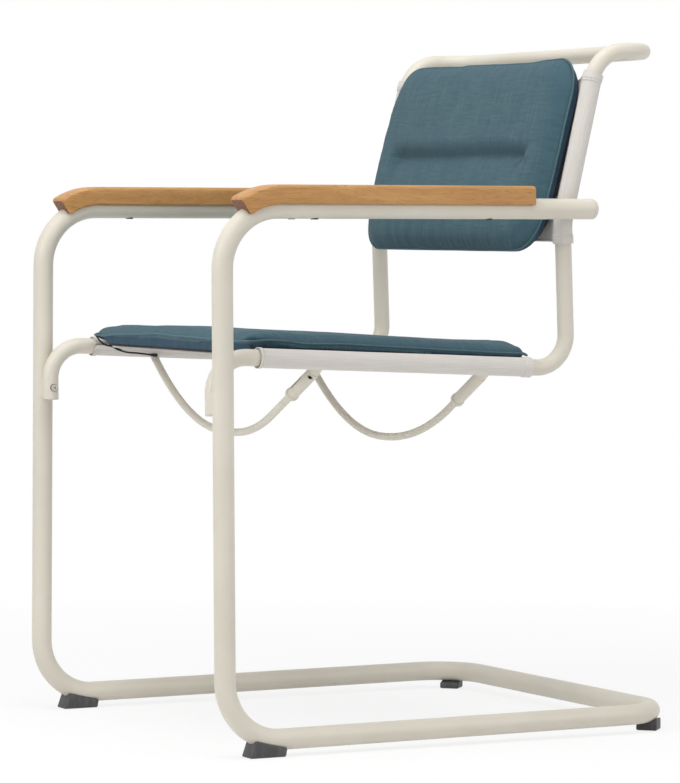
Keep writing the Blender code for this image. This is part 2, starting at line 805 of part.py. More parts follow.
def web_thickness(run, total):
    """Thickness of a web at a distance along it: thin cloth with a rolled hem at both ends."""
    inset = min(run, total - run)
    for place, size in hem_roll_shares:
        if inset <= place * hem_roll_d + WELD_DIST:
            return size * hem_roll_d
    return cloth_thick


def web_solid(name, line, shift):
    """A closed slab of cloth hung between two rails."""
    total = path_length(line)
    places = [share * hem_roll_d for share, _ in hem_roll_shares[1:]] + [hem_roll_d]
    line = with_stations(line, places + [total - place for place in places])
    runs = [path_length(line[:k + 1]) for k in range(len(line))]
    rows = web_grid(line, shift)
    bm = bmesh.new()
    upper, lower = [], []
    for k, row in enumerate(rows):
        half = web_normal(line, k) * (web_thickness(runs[k], total) / 2.0)
        upper.append([bm.verts.new(p + half) for p in row])
        lower.append([bm.verts.new(p - half) for p in row])
    grid_faces(bm, upper)
    grid_faces(bm, [row[::-1] for row in lower])
    for k, turn in ((0, 1), (len(rows) - 1, -1)):
        grid_faces(bm, [lower[k], upper[k]][::turn])
    for column, turn in ((0, -1), (len(rows[0]) - 1, 1)):
        edges = [[row[column] for row in lower], [row[column] for row in upper]]
        grid_faces(bm, edges[::turn])
    bmesh.ops.recalc_face_normals(bm, faces=bm.faces)
    mesh = bpy.data.meshes.new(name)
    bm.to_mesh(mesh)
    bm.free()
    return bpy.data.objects.new(name, mesh)


def rolled_edges(web):
    """Where the rolled hems of a web lie, a little in from its first and last rows."""
    inset = hem_roll_d * ROLL_AXIS_SHARE
    return (("first", [a + (b - a).normalized() * inset for a, b in zip(web[0], web[1])]),
            ("last", [a + (b - a).normalized() * inset for a, b in zip(web[-1], web[-2])]))


def sling(name, line, hems, web_line, shift):
    """Two sleeves round the tubes and a web between them with rolled edges, joined in one piece of cloth."""
    total = path_length(line)
    marks = [m for a, b in hems for m in (a - hem_extra, a, b, b + hem_extra) if 0.0 < m < total]
    line = with_stations(line, marks)
    cloth = link(web_solid(name, web_line, shift), MESH_CLOTH)
    for side_name, side in SIDES.items():
        sleeve = rod_mesh(name + "_sleeve_" + side_name, flip_x(line, side), cloth_r, TUBE_SIDE_RES,
                          hem_radii(line, hems))
        boolean(cloth, cutter(sleeve), 'UNION')
    boolean(cloth, seat_envelope)
    return smooth(cloth)


def seat_stretch(y0, y1):
    return sub_path(half_seat, arc_length_at(half_seat, 1, y0 - ORIGIN_Y), arc_length_at(half_seat, 1, y1 - ORIGIN_Y))


def back_stretch(z0, z1):
    return sub_path(half_seat, arc_length_at(half_seat, 2, z0), arc_length_at(half_seat, 2, z1))


seat_line = seat_stretch(seat_cloth_front_y, seat_cloth_rear_y)
seat_web_line = seat_stretch(seat_web_front_y, seat_cloth_rear_y - web_end_inset)
seat_length = path_length(seat_line)
back_line = back_stretch(back_cloth_low_z, back_cloth_high_z)
back_web_line = back_stretch(back_cloth_low_z + web_end_inset, back_cloth_high_z - back_web_inset)
back_length = path_length(back_line)

seat_fabric = sling("seat_fabric", seat_line, [(seat_length - hem_width, seat_length)],
                    seat_web_line, -seat_web_drop)
back_fabric = sling("back_fabric", back_line, [(0.0, hem_width), (back_length - hem_width, back_length)],
                    back_web_line, -back_web_setback)

for side_name, side in SIDES.items():
    mouth = mirrored(at(seat_half_width, seat_cloth_front_y, rail_z(seat_cloth_front_y)), side)
    reach = cloth_r + hem_extra + CUT_OVERRUN
    wedge = box_mesh("seat_mouth_" + side_name, mouth - Vector((reach, CUT_OVERRUN, reach)),
                     mouth + Vector((reach, 0.0, reach)))
    for v in wedge.data.vertices:
        if v.co.y > mouth.y - CUT_OVERRUN / 2.0:
            v.co.y += seat_mouth_slant * (mouth.z + cloth_r - v.co.z) / (cloth_r * 2.0)
    boolean(seat_fabric, cutter(wedge))

back_screw_z = arm_point(back_y(arm_front_z)).z
for side_name, side in SIDES.items():
    outward = ACROSS * side
    y = back_y(back_screw_z)
    head = mirrored(at(seat_half_width - cloth_r - FIT_GAP, y, back_screw_z), side)
    reach = arm_point(y).x - base_r + base_tube_wall + screw_reach_past_wall - (seat_half_width - cloth_r)
    screw("back_screw_" + side_name, head, outward, reach)
    drill([seat_back_frame, base_frame, back_fabric], "back_screw_hole_" + side_name, head - outward * FIT_GAP,
          outward, reach + CUT_OVERRUN, screw_shank_d / 2.0 + FIT_GAP)


# Spreader struts

def strut_curve(y, far_z, low_x, low_z, sleeve_low, along, bend_r):
    """Axis of the bowed rod: a soft curve down from its far end, then a bend into its straight near part."""
    start, low = at(-strut_far_end_x, y, far_z), at(low_x, y, low_z)
    steps = max(ARC_STEPS, round((low.x - start.x) / strut_rod_step))
    points = []
    for k in range(steps):
        t = k / steps
        points.append(Vector((start.x + (low.x - start.x) * t, start.y,
                              low.z + (start.z - low.z) * (1.0 - t) ** STRUT_LEFT_POWER)))
    corner = sleeve_low - along * ((sleeve_low.z - low.z) / along.z)
    return points + fine_fillet([low, corner, sleeve_low + along * strut_rod_reach], bend_r)


def fine_fillet(corners, radius):
    """A single large bend, cut into as many steps as the rod's other points have."""
    path = fillet_path(corners, [radius])
    total = path_length(path)
    count = max(ARC_STEPS, round(total / strut_rod_step))
    a = (corners[0] - corners[1]).normalized()
    b = (corners[2] - corners[1]).normalized()
    half = a.angle(b) / 2.0
    reach = min(radius / math.tan(half), (corners[0] - corners[1]).length, (corners[2] - corners[1]).length)
    centre = corners[1] + (a + b).normalized() * (reach * math.tan(half) / math.sin(half))
    start = corners[1] + a * reach - centre
    axis = start.cross(corners[1] + b * reach - centre).normalized()
    turn = math.pi - 2.0 * half
    arc = [centre + Matrix.Rotation(turn * k / count, 3, axis) @ start for k in range(count + 1)]
    out = [corners[0]]
    for p in arc + [corners[2]]:
        if (p - out[-1]).length > strut_rod_step / 3.0:
            out.append(p)
    return out


def rounded_block(name, low, high, place):
    obj = box_mesh(name, low, high)
    obj.matrix_world = place
    link(obj, PAINT)
    edge = obj.modifiers.new("edges", 'BEVEL')
    edge.width = bracket_round
    edge.segments = 2
    edge.limit_method = 'ANGLE'
    return obj


def rail_saddle(name, y, side):
    """Cutter that shapes a bracket's seat on the cloth-covered rail."""
    reach = bracket_width + CUT_OVERRUN
    line = [at(seat_half_width, y - reach, rail_z(y - reach)), at(seat_half_width, y + reach, rail_z(y + reach))]
    return cutter(rod_mesh(name, flip_x(line, side), cloth_r + FIT_GAP))


def strut(name, y, far_drop, low_x, low_drop, sleeve_drop, near_drop, bend_r):
    """A strut at a distance y behind the front uprights, its heights given as drops below the seat rail's axis."""
    sleeve_low = at(strut_sleeve_start_x, y, rail_z(y) - sleeve_drop)
    sleeve_top = at(strut_sleeve_end_x, y, rail_z(y) - near_drop)
    along = (sleeve_top - sleeve_low).normalized()
    length = (sleeve_top - sleeve_low).length
    points = strut_curve(y, rail_z(y) - far_drop, low_x, rail_z(y) - low_drop, sleeve_low, along, bend_r)
    rod_r = strut_rod_d / 2.0
    smooth(link(rod_mesh(name + "_rod", points, rod_r, STRUT_SIDE_RES), PAINT))

    outer_r = strut_sleeve_d / 2.0
    bore_r = outer_r - strut_sleeve_wall
    sleeve = turned(name + "_sleeve", [(bore_r, length), (outer_r, length), (outer_r, 0.0), (bore_r, 0.0),
                                       (bore_r, length)], sleeve_low, along, PAINT)
    slot = box_mesh(name + "_slot", (-outer_r - CUT_OVERRUN, -strut_slot_width / 2.0, length - strut_slot_length),
                    (outer_r + CUT_OVERRUN, strut_slot_width / 2.0, length + CUT_OVERRUN))
    slot.matrix_world = frame_matrix(sleeve_low, along)
    boolean(sleeve, cutter(slot))

    ring_r, nut_r = strut_collar_d / 2.0, strut_nut_d / 2.0
    over_sleeve, over_rod = outer_r + FIT_GAP, rod_r + FIT_GAP
    turned(name + "_collar", [(over_sleeve, strut_collar_width),
                              (ring_r - strut_collar_round, strut_collar_width),
                              (ring_r, strut_collar_width - strut_collar_round), (ring_r, strut_collar_round),
                              (ring_r - strut_collar_round, 0.0), (nut_r, 0.0), (nut_r, -strut_nut_width),
                              (over_rod, -strut_nut_width), (over_rod, -FIT_GAP), (over_sleeve, -FIT_GAP),
                              (over_sleeve, strut_collar_width)], sleeve_low, along, PAINT)

    half_height, half_width = bracket_pad_height / 2.0, bracket_width / 2.0
    low = (-half_height, -half_width, -bracket_pad_depth)
    high = (half_height, half_width, bracket_pad_wrap)

    rail = at(seat_half_width, y, rail_z(y))
    pivot = sleeve_low + along * ((strut_screw_x - strut_sleeve_start_x) / along.x)
    toward = (rail - pivot).normalized()
    pad_at = rail - toward * (cloth_r + FIT_GAP)
    pad = rounded_block(name + "_bracket_right", low, high, frame_matrix(pad_at, toward))
    tongue_half = strut_slot_width / 2.0 - FIT_GAP
    tongue = box_mesh(name + "_tongue", (-strut_tongue_width / 2.0, -tongue_half, -strut_tongue_width / 2.0),
                      (strut_tongue_width / 2.0, tongue_half, (pad_at - pivot).length))
    tongue.matrix_world = frame_matrix(pivot, toward)
    boolean(pad, cutter(tongue), 'UNION')
    boolean(pad, rail_saddle(name + "_saddle_right", y, 1))
    grips = {1: pad_at - toward * strap_grip}

    seat = pivot - REARWARD * (outer_r + FIT_GAP)
    bolt = strut_sleeve_d + FIT_GAP
    screw(name + "_screw", seat, REARWARD, bolt)
    drill([sleeve, pad], name + "_screw_hole", seat - REARWARD * CUT_OVERRUN, REARWARD,
          bolt + CUT_OVERRUN * 2.0, screw_shank_d / 2.0 + FIT_GAP)

    rail = mirrored(rail, -1)
    toward = (rail - points[0]).normalized()
    pad_at = rail - toward * (cloth_r + FIT_GAP)
    pad = rounded_block(name + "_bracket_left", low, high, frame_matrix(pad_at, toward))
    leave = (points[1] - points[0]).normalized()
    boss = rod_mesh(name + "_boss", [pad_at, points[0], points[0] + leave * bracket_boss_length],
                    bracket_boss_d / 2.0, TUBE_SIDE_RES)
    boolean(pad, cutter(boss), 'UNION')
    boolean(pad, rail_saddle(name + "_saddle_left", y, -1))
    bore = [points[0] - leave * FIT_GAP] + points[1:4]
    boolean(pad, cutter(rod_mesh(name + "_bore", bore, rod_r + FIT_GAP)))
    grips[-1] = pad_at - toward * strap_grip
    return grips


strap_grips = strut("front_strut", front_strut_y, front_strut_far_drop, front_strut_low_x, front_strut_low_drop,
                    front_strut_sleeve_drop, front_strut_near_drop, front_strut_bend_r)
strut("rear_strut", rear_strut_y, rear_strut_far_drop, rear_strut_low_x, rear_strut_low_drop,
      rear_strut_sleeve_drop, rear_strut_near_drop, rear_strut_bend_r)


# Cushions

def crown(u, v, rise):
    """Height of a plump face over its seam at a place in the plan, from -1 to 1 each way."""
    return rise * math.sqrt((1.0 - abs(u) ** PAD_RISE_POWER) * (1.0 - abs(v) ** PAD_RISE_POWER))


def pad_mesh(name, half_u, half_v, corner_r, side_draw, boxing, faces, place):
    """A boxed cushion: a grid cage over a rounded plan, raised in a crown on both faces, drawn in at its sides.

    The upper seam lies in the local plane z = 0 and faces holds the extra height of the lower and the upper face.
    """
    def plan(i, j):
        x = half_u * (-1.0 + 2.0 * i / PAD_CELLS_X)
        y = half_v * (-1.0 + 2.0 * j / PAD_CELLS_Y)
        cx, cy = half_u - corner_r, half_v - corner_r
        if abs(x) > cx and abs(y) > cy:
            away = Vector((abs(x) - cx, abs(y) - cy))
            away = away.normalized() * max(away.x, away.y)
            return math.copysign(cx + away.x, x), math.copysign(cy + away.y, y)
        return x, y

    mesh = bpy.data.meshes.new(name)
    bm = bmesh.new()
    grids = []
    for z, face in zip((-boxing, 0.0), faces):
        grid = {}
        for i in range(PAD_CELLS_X + 1):
            for j in range(PAD_CELLS_Y + 1):
                x, y = plan(i, j)
                grid[i, j] = bm.verts.new((x, y, z + face(x / half_u, y / half_v)))
        grids.append(grid)
    lower, upper = grids
    ring = [(i, 0) for i in range(PAD_CELLS_X)] + [(PAD_CELLS_X, j) for j in range(PAD_CELLS_Y)]
    ring += [(PAD_CELLS_X - i, PAD_CELLS_Y) for i in range(PAD_CELLS_X)]
    ring += [(0, PAD_CELLS_Y - j) for j in range(PAD_CELLS_Y)]
    middle = {}
    for key in ring:
        spot = (lower[key].co + upper[key].co) / 2.0
        inward = Vector((spot.x / half_u, spot.y / half_v, 0.0)).normalized()
        middle[key] = bm.verts.new(spot - inward * side_draw)
    for i in range(PAD_CELLS_X):
        for j in range(PAD_CELLS_Y):
            quad = ((i, j), (i + 1, j), (i + 1, j + 1), (i, j + 1))
            bm.faces.new([upper[k] for k in quad])
            bm.faces.new([lower[k] for k in reversed(quad)])
    crease = bm.edges.layers.float.new("crease_edge")
    for a, b in zip(ring, ring[1:] + ring[:1]):
        bm.faces.new((lower[a], lower[b], middle[b], middle[a]))
        bm.faces.new((middle[a], middle[b], upper[b], upper[a]))
        for grid in grids:
            bm.edges.get((grid[a], grid[b]))[crease] = SEAM_CREASE
    bm.to_mesh(mesh)
    bm.free()
    obj = bpy.data.objects.new(name, mesh)
    obj.matrix_world = place
    link(obj, PAD_CLOTH)
    soft = obj.modifiers.new("soft", 'SUBSURF')
    soft.levels = 1
    soft.render_levels = 1
    return obj


def web_trim(name, top, depth):
    """A thick slab under a grid of points, for trimming the cushion that lies on the web."""
    mesh = bpy.data.meshes.new(name)
    bm = bmesh.new()
    upper = [[bm.verts.new(p) for p in row] for row in top]
    line = [row[0] for row in top]
    lower = [[bm.verts.new(p - web_normal(line, k) * depth) for p in row] for k, row in enumerate(top)]
    grid_faces(bm, upper)
    grid_faces(bm, lower)
    for edge in ([row[0] for row in upper], [row[-1] for row in upper]):
        under = [lower[k][0 if edge[0] is upper[0][0] else -1] for k in range(len(edge))]
        grid_faces(bm, [[a, b] for a, b in zip(edge, under)])
    for k in (0, -1):
        grid_faces(bm, [upper[k], lower[k]])
    bmesh.ops.recalc_face_normals(bm, faces=bm.faces)
    bm.to_mesh(mesh)
    bm.free()
    return cutter(bpy.data.objects.new(name, mesh))


seam_front = at(0.0, seat_pad_front_y, seat_pad_seam_front_z)
seam_rear = at(0.0, seat_pad_rear_y, seat_pad_seam_rear_z)
seat_tilt = math.atan2(seam_rear.z - seam_front.z, seam_rear.y - seam_front.y)
seat_cushion = pad_mesh("seat_cushion", seat_pad_half_width, (seam_rear - seam_front).length / 2.0,
                        seat_pad_corner_r, seat_pad_side_draw, seat_pad_boxing,
                        (lambda u, v: -crown(u, v, seat_pad_belly), lambda u, v: crown(u, v, seat_pad_crown)),
                        Matrix.Translation((seam_front + seam_rear) / 2.0) @ Matrix.Rotation(seat_tilt, 4, 'X'))

pad_low = at(0.0, back_pad_low_y, back_pad_low_z)
pad_high = at(0.0, back_pad_high_y, back_pad_high_z)
back_turn = math.atan2(pad_high.z - pad_low.z, pad_high.y - pad_low.y)
tuft_share = (back_tuft_z - back_pad_low_z) / (back_pad_high_z - back_pad_low_z)
tuft_v = -1.0 + 2.0 * round(tuft_share * PAD_CELLS_Y) / PAD_CELLS_Y


def back_bow(v):
    return back_pad_bow * (1.0 - v * v)


def back_front_face(u, v):
    rise = back_bow(v) + crown(u, v, back_pad_crown)
    in_row = abs(v - tuft_v) < 1.0 / PAD_CELLS_Y
    return rise - back_tuft_depth if in_row and abs(u) * back_pad_half_width < back_tuft_half_width else rise


back_cushion = pad_mesh("back_cushion", back_pad_half_width, (pad_high - pad_low).length / 2.0, back_pad_corner_r,
                        back_pad_side_draw, back_pad_boxing,
                        (lambda u, v: back_bow(v) - crown(u, v, back_pad_belly), back_front_face),
                        Matrix.Translation((pad_low + pad_high) / 2.0) @ Matrix.Rotation(back_turn, 4, 'X'))

pad_over_web = cloth_thick / 2.0 + pad_clearance
for label, pad, line, shift, corner_r in (
        ("seat", seat_cushion, seat_web_line, pad_over_web - seat_web_drop, seat_pad_corner_r),
        ("back", back_cushion, back_web_line, pad_over_web - back_web_setback, back_pad_corner_r)):
    boolean(pad, web_trim(label + "_pad_trim", web_grid(lengthened(line, corner_r * 2.0), shift), corner_r))
    for edge, row in rolled_edges(web_grid(line, shift - pad_over_web)):
        roll = rod_mesh(label + "_pad_roll_" + edge, row, hem_roll_d / 2.0 + hem_roll_clearance, STRAP_SIDE_RES)
        boolean(pad, cutter(roll))
    for side_name, side in SIDES.items():
        beside = flip_x(lengthened(line, hem_width), side)
        boolean(pad, cutter(rod_mesh(label + "_pad_side_" + side_name, beside, cloth_r + hem_extra + pad_clearance)))
    smooth(pad)


# Elastic straps, from the seat cushion's front edge round the web's front hem to the front strut's brackets

for side_name, side in SIDES.items():
    strap_r = strap_d / 2.0
    clear = strap_r + FIT_GAP
    x = seat_pad_half_width - strap_inset
    web_low = -seat_web_drop - cloth_thick / 2.0 - clear
    front_y = seat_pad_front_y - clear
    grip = strap_grips[side]
    end_y = front_strut_y - bracket_width / 2.0 - FIT_GAP
    under_y = seat_web_front_y + hem_roll_d
    points = [at(x * side, front_y, seat_pad_seam_front_z - seat_pad_boxing / 2.0),
              at(x * side, front_y, rail_z(front_y)),
              at(x * side, (front_y + under_y) / 2.0, rail_z(front_y) - hem_roll_d * 2.0),
              at(x * side, under_y + hem_width, rail_z(under_y) - hem_roll_d * 2.0 - strap_d),
              Vector((grip.x, at(0.0, end_y - hem_width, 0.0).y, grip.z)),
              Vector((grip.x, at(0.0, end_y, 0.0).y, grip.z))]
    strap = rod_mesh("cushion_strap_" + side_name, points, strap_r, STRAP_SIDE_RES)
    smooth(link(strap, ELASTIC))
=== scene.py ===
import math

import bpy
import bmesh
from mathutils import Matrix, Vector, noise


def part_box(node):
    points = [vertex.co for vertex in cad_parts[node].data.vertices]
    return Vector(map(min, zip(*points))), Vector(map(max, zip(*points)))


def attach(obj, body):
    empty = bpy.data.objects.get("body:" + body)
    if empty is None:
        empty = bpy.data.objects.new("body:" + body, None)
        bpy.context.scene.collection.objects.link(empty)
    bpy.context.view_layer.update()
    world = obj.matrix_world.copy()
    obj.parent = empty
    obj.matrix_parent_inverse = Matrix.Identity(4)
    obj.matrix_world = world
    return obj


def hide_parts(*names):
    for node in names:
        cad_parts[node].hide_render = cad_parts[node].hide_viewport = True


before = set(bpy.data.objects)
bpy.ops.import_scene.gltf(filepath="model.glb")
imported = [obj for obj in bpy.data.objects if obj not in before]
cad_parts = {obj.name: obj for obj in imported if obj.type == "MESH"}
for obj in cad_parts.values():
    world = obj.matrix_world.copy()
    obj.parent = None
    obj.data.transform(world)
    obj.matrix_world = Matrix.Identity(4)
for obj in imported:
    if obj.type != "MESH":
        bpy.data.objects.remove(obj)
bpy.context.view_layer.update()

MM = 0.001
# The front uprights' feet stand this far in front of the origin, in millimetres
UPRIGHT_Y = 303.2778
LEFT, RIGHT = -1, 1
UP = Vector((0.0, 0.0, 1.0))
REARWARD = Vector((0.0, 1.0, 0.0))

base_r, base_wall = 12.5 * MM, 1.6 * MM
seat_r, seat_wall = 10.0 * MM, 1.5 * MM
seat_half = 234.701


def at(x, y, z):
    """A point from millimetres, with y measured from the front uprights' feet."""
    return Vector((x, y - UPRIGHT_Y, z)) * MM


def row(y):
    """The scene's y of a row across the chair, so many millimetres behind the front uprights' feet."""
    return (y - UPRIGHT_Y) * MM


def mirror(point):
    return Vector((-point.x, point.y, point.z))


arm_rear, arm_front = at(259.6, 493.4, 640.0), at(256.3, -2.2, 638.9)
floor_front, floor_rear = at(265.8, 0.0, 19.0), at(265.8, 608.5, 22.5)
arm_way = (arm_front - arm_rear).normalized()
base_bends = [72.0 * MM, 70.5 * MM, 64.0 * MM]
seat_corners = [at(seat_half, y, z) for y, z in ((-1.3, 398.0), (-2.7, 466.5), (476.3, 446.1), (469.3, 624.3),
                                                (517.7, 832.6), (602.0, 834.5))]
seat_bends = [41.0 * MM, 39.5 * MM, 60.0 * MM, 46.0 * MM, 46.0 * MM]


def rail_z(y):
    """Height of the seat rails' axes, in millimetres."""
    return 466.5 - 20.4 * (y + 2.7) / 479.0


# Hand tools

def deselect():
    bpy.ops.object.select_all(action='DESELECT')


def only(obj):
    deselect()
    obj.select_set(True)
    bpy.context.view_layer.objects.active = obj


def open_edit(obj):
    only(obj)
    bpy.ops.object.mode_set(mode='EDIT')
    bpy.ops.mesh.select_mode(type='VERT')


def close_edit():
    bpy.ops.object.mode_set(mode='OBJECT')


def pick(kind, test):
    """In edit mode, selects only those vertices, edges or faces whose place, and for faces direction, pass a test."""
    obj = bpy.context.edit_object
    bpy.ops.mesh.select_mode(type=kind)
    bpy.ops.mesh.select_all(action='DESELECT')
    bm = bmesh.from_edit_mesh(obj.data)
    place = obj.matrix_world
    if kind == 'VERT':
        for v in bm.verts:
            v.select_set(test(place @ v.co))
    elif kind == 'EDGE':
        for e in bm.edges:
            e.select_set(test(place @ e.verts[0].co, place @ e.verts[1].co))
    else:
        bm.normal_update()
        for f in bm.faces:
            f.select_set(test(place @ f.calc_center_median(), place.to_3x3() @ f.normal))
    bm.select_flush_mode()
    bmesh.update_edit_mesh(obj.data)


def settle():
    """Puts the place, turn and scale of what is selected into its mesh."""
    bpy.ops.object.transform_apply(location=True, rotation=True, scale=True)


def take_all():
    bpy.ops.mesh.select_all(action='SELECT')


def pull(step):
    """In edit mode, draws out the selection by a step."""
    bpy.ops.mesh.extrude_region_move(TRANSFORM_OT_translate={"value": step})


def inset(width):
    bpy.ops.mesh.inset(thickness=width)


def bevel(width, segments):
    bpy.ops.mesh.bevel(offset=width, segments=segments, profile=0.5, affect='EDGES')


def round_ends(width, segments):
    """In edit mode, rounds all edges that lie level in the piece's own frame."""
    pick('EDGE', lambda a, b: abs(a.z - b.z) < 1e-6)
    bevel(width, segments)


def block(size, middle):
    deselect()
    bpy.ops.mesh.primitive_cube_add(size=1.0)
    made = bpy.context.object
    made.scale = size
    made.location = middle
    settle()
    return made


def move_to(obj, place):
    obj.matrix_world = place
    only(obj)
    settle()
    return obj


def put_down(obj, name, *finishes):
    """Names a piece, puts its place into its mesh and gives it its finishes."""
    only(obj)
    settle()
    obj.name = name
    obj.data.name = name
    obj.data.materials.clear()
    for finish in finishes:
        obj.data.materials.append(finish)
    return obj


def apply_all(obj):
    only(obj)
    for modifier in list(obj.modifiers):
        bpy.ops.object.modifier_apply(modifier=modifier.name)


def shade(obj, degrees=35.0):
    only(obj)
    bpy.ops.object.shade_smooth_by_angle(angle=math.radians(degrees))
    return obj


def outward(obj):
    open_edit(obj)
    take_all()
    bpy.ops.mesh.remove_doubles(threshold=0.00001)
    bpy.ops.mesh.normals_make_consistent(inside=False)
    close_edit()
    return obj


def refinish(obj, number, test):
    """Gives the faces that pass a test another of the piece's finishes."""
    open_edit(obj)
    obj.active_material_index = number
    pick('FACE', test)
    bpy.ops.object.material_slot_assign()
    close_edit()


def cut(obj, tool):
    """A Boolean with a tool piece that is thrown away afterwards."""
    only(obj)
    step = obj.modifiers.new("cut", 'BOOLEAN')
    step.operation = 'DIFFERENCE'
    step.object = tool
    step.solver = 'EXACT'
    bpy.ops.object.modifier_apply(modifier=step.name)
    bpy.data.objects.remove(tool, do_unlink=True)


def copy_of(obj, name, place):
    """A copy with its own mesh, put at a place."""
    twin = obj.copy()
    twin.data = obj.data.copy()
    bpy.context.scene.collection.objects.link(twin)
    move_to(twin, place)
    twin.name = name
    twin.data.name = name
    return twin


def other_side(obj, name):
    """The mirrored twin of a right-hand piece."""
    twin = copy_of(obj, name, Matrix.Scale(-1.0, 4, (1.0, 0.0, 0.0)))
    open_edit(twin)
    take_all()
    bpy.ops.mesh.normals_make_consistent(inside=False)
    close_edit()
    return twin


def facing(direction):
    return direction.to_track_quat('Z', 'Y').to_euler()


def rod(start, end, radius, sides=32):
    """A plain round bar between two points, used as a blank or as a cutting tool."""
    deselect()
    bpy.ops.mesh.primitive_cylinder_add(vertices=sides, radius=radius, depth=(end - start).length,
                                        location=(start + end) / 2.0, rotation=facing((end - start).normalized()))
    settle()
    return bpy.context.object


def pin(low, high, radius, sides=40):
    """A round bar that stands on the z axis."""
    return rod(Vector((0.0, 0.0, low)), Vector((0.0, 0.0, high)), radius, sides)


def bend_at(corners, k, radius):
    """The bend at a corner of a line: its start, end, centre, axis and turn, and the way that leads into it."""
    into = (corners[k] - corners[k - 1]).normalized()
    out = (corners[k + 1] - corners[k]).normalized()
    turn = into.angle(out)
    reach = radius * math.tan(turn / 2.0)
    start = corners[k] - into * reach
    axis = into.cross(out).normalized()
    return start, corners[k] + out * reach, start + axis.cross(into) * radius, axis, turn, into


def draw_out(corners, radii):
    """In edit mode, draws the selected ring out along the corners and round a bend at each inner one."""
    degrees_a_step = 4.0
    here = corners[0]
    for k in range(1, len(corners) - 1):
        start, end, centre, axis, turn, _ = bend_at(corners, k, radii[k - 1])
        pull(start - here)
        bpy.ops.mesh.spin(steps=max(2, math.ceil(math.degrees(turn) / degrees_a_step)), angle=-turn, center=centre,
                          axis=axis)
        here = end
    pull(corners[-1] - here)


def bent_tube(corners, radii, radius, wall=0.0, sides=40):
    """A bent tube drawn from a ring: open with a wall, or a closed bar if the wall is nothing."""
    deselect()
    bpy.ops.mesh.primitive_circle_add(vertices=sides, radius=radius, fill_type='NOTHING', location=corners[0],
                                      rotation=facing((corners[1] - corners[0]).normalized()))
    tube = bpy.context.object
    open_edit(tube)
    take_all()
    draw_out(corners, radii)
    if not wall:
        take_all()
        bpy.ops.mesh.remove_doubles(threshold=0.00001)
        bpy.ops.mesh.fill_holes(sides=0)
    close_edit()
    outward(tube)
    if wall:
        shell = tube.modifiers.new("wall", 'SOLIDIFY')
        shell.thickness = wall
        shell.offset = -1.0
        apply_all(tube)
    return tube


def drawn_bar(points, radius, closed=False, sides=12, radii=None):
    """A bar that follows a line of points, drawn by extruding one vertex and then given its thickness."""
    deselect()
    bpy.ops.mesh.primitive_plane_add(size=1.0, location=points[0])
    line = bpy.context.object
    open_edit(line)
    take_all()
    bpy.ops.mesh.merge(type='CENTER')
    take_all()
    for a, b in zip(points[:-1], points[1:]):
        pull(b - a)
    if closed:
        pick('VERT', lambda p: (p - points[0]).length < 1e-6 or (p - points[-1]).length < 1e-6)
        bpy.ops.mesh.edge_face_add()
    close_edit()
    bpy.ops.object.convert(target='CURVE')
    line = bpy.context.object
    line.data.bevel_depth = radius
    line.data.bevel_resolution = sides // 2 - 2
    line.data.use_fill_caps = not closed
    if radii:
        for spot, size in zip(line.data.splines[0].points, radii):
            spot.radius = size
    bpy.ops.object.convert(target='MESH')
    bar = bpy.context.object
    return outward(bar)


def finish_piece(obj, slot, *nodes):
    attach(obj, "root")
    if nodes:
        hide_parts(*nodes)


def hand_over(obj, name, coat, slot, *nodes, smooth=35.0):
    """Smooths, names and coats a piece that is ready, and finishes it."""
    put_down(shade(obj, smooth), name, coat)
    finish_piece(obj, slot, *nodes)


def finish_pair(right, slot, node):
    """Finishes a right-hand piece and makes its twin on the left."""
    finish_piece(right, slot, node + "_right")
    finish_piece(other_side(right, right.name.replace("right", "left")), slot, node + "_left")


# Finishes

class Nodes:
    """Adds nodes to a tree and feeds their sockets with numbers or with other nodes' outputs."""

    def __init__(self, tree):
        self.tree = tree

    def feed(self, socket, value):
        if isinstance(value, bpy.types.NodeSocket):
            self.tree.links.new(value, socket)
        else:
            socket.default_value = value

    def put(self, kind, props=None, **feeds):
        """A new shader node of a kind. A feed named s0, s1 and so on goes to the socket of that number."""
        made = self.tree.nodes.new('ShaderNode' + kind)
        for key, value in (props or {}).items():
            setattr(made, key, value)
        for key, value in feeds.items():
            self.feed(made.inputs[int(key[1:]) if key[1:].isdigit() else key.replace("_", " ")], value)
        return made

    def sums(self, how, a, b=0.0, c=0.0):
        return self.put('Math', {"operation": how}, s0=a, s1=b, s2=c).outputs[0]

    def sine(self, run, pitch):
        return self.sums('SINE', self.sums('MULTIPLY', run, 2.0 * math.pi / pitch))

    def levels(self, value, low, high, out_low=0.0, out_high=1.0):
        return self.put('MapRange', {"clamp": True}, s0=value, s1=low, s2=high, s3=out_low,
                        s4=out_high).outputs[0]

    def blend(self, share, a, b):
        mix = self.put('Mix', {"data_type": 'RGBA'})
        for spot, value in ((0, share), (6, a), (7, b)):
            self.feed(mix.inputs[spot], (*value, 1.0) if isinstance(value, tuple) else value)
        return mix.outputs[2]

    def speckle(self, coords, size, detail=2.0, rough=0.5, squash=None):
        """Noise whose grains are about the given size in metres, drawn out along any axis by squash."""
        if squash:
            coords = self.put('Mapping', None, Vector=coords, Scale=squash).outputs[0]
        return self.put('TexNoise', None, Vector=coords, Scale=1.0 / size, Detail=detail,
                        Roughness=rough).outputs[0]

    def wave(self, scale, distortion, detail, props, coords, **more):
        return self.put('TexWave', props, Vector=coords, Scale=scale, Distortion=distortion, Detail=detail,
                        **more).outputs["Fac"]

    def seen(self):
        """1 for rays that the camera sends, also in a reflection or through something, and 0 for the others."""
        way = self.put('LightPath').outputs
        return self.sums('MAXIMUM', self.sums('MAXIMUM', way["Is Camera Ray"], way["Is Glossy Ray"]),
                         way["Is Transmission Ray"])


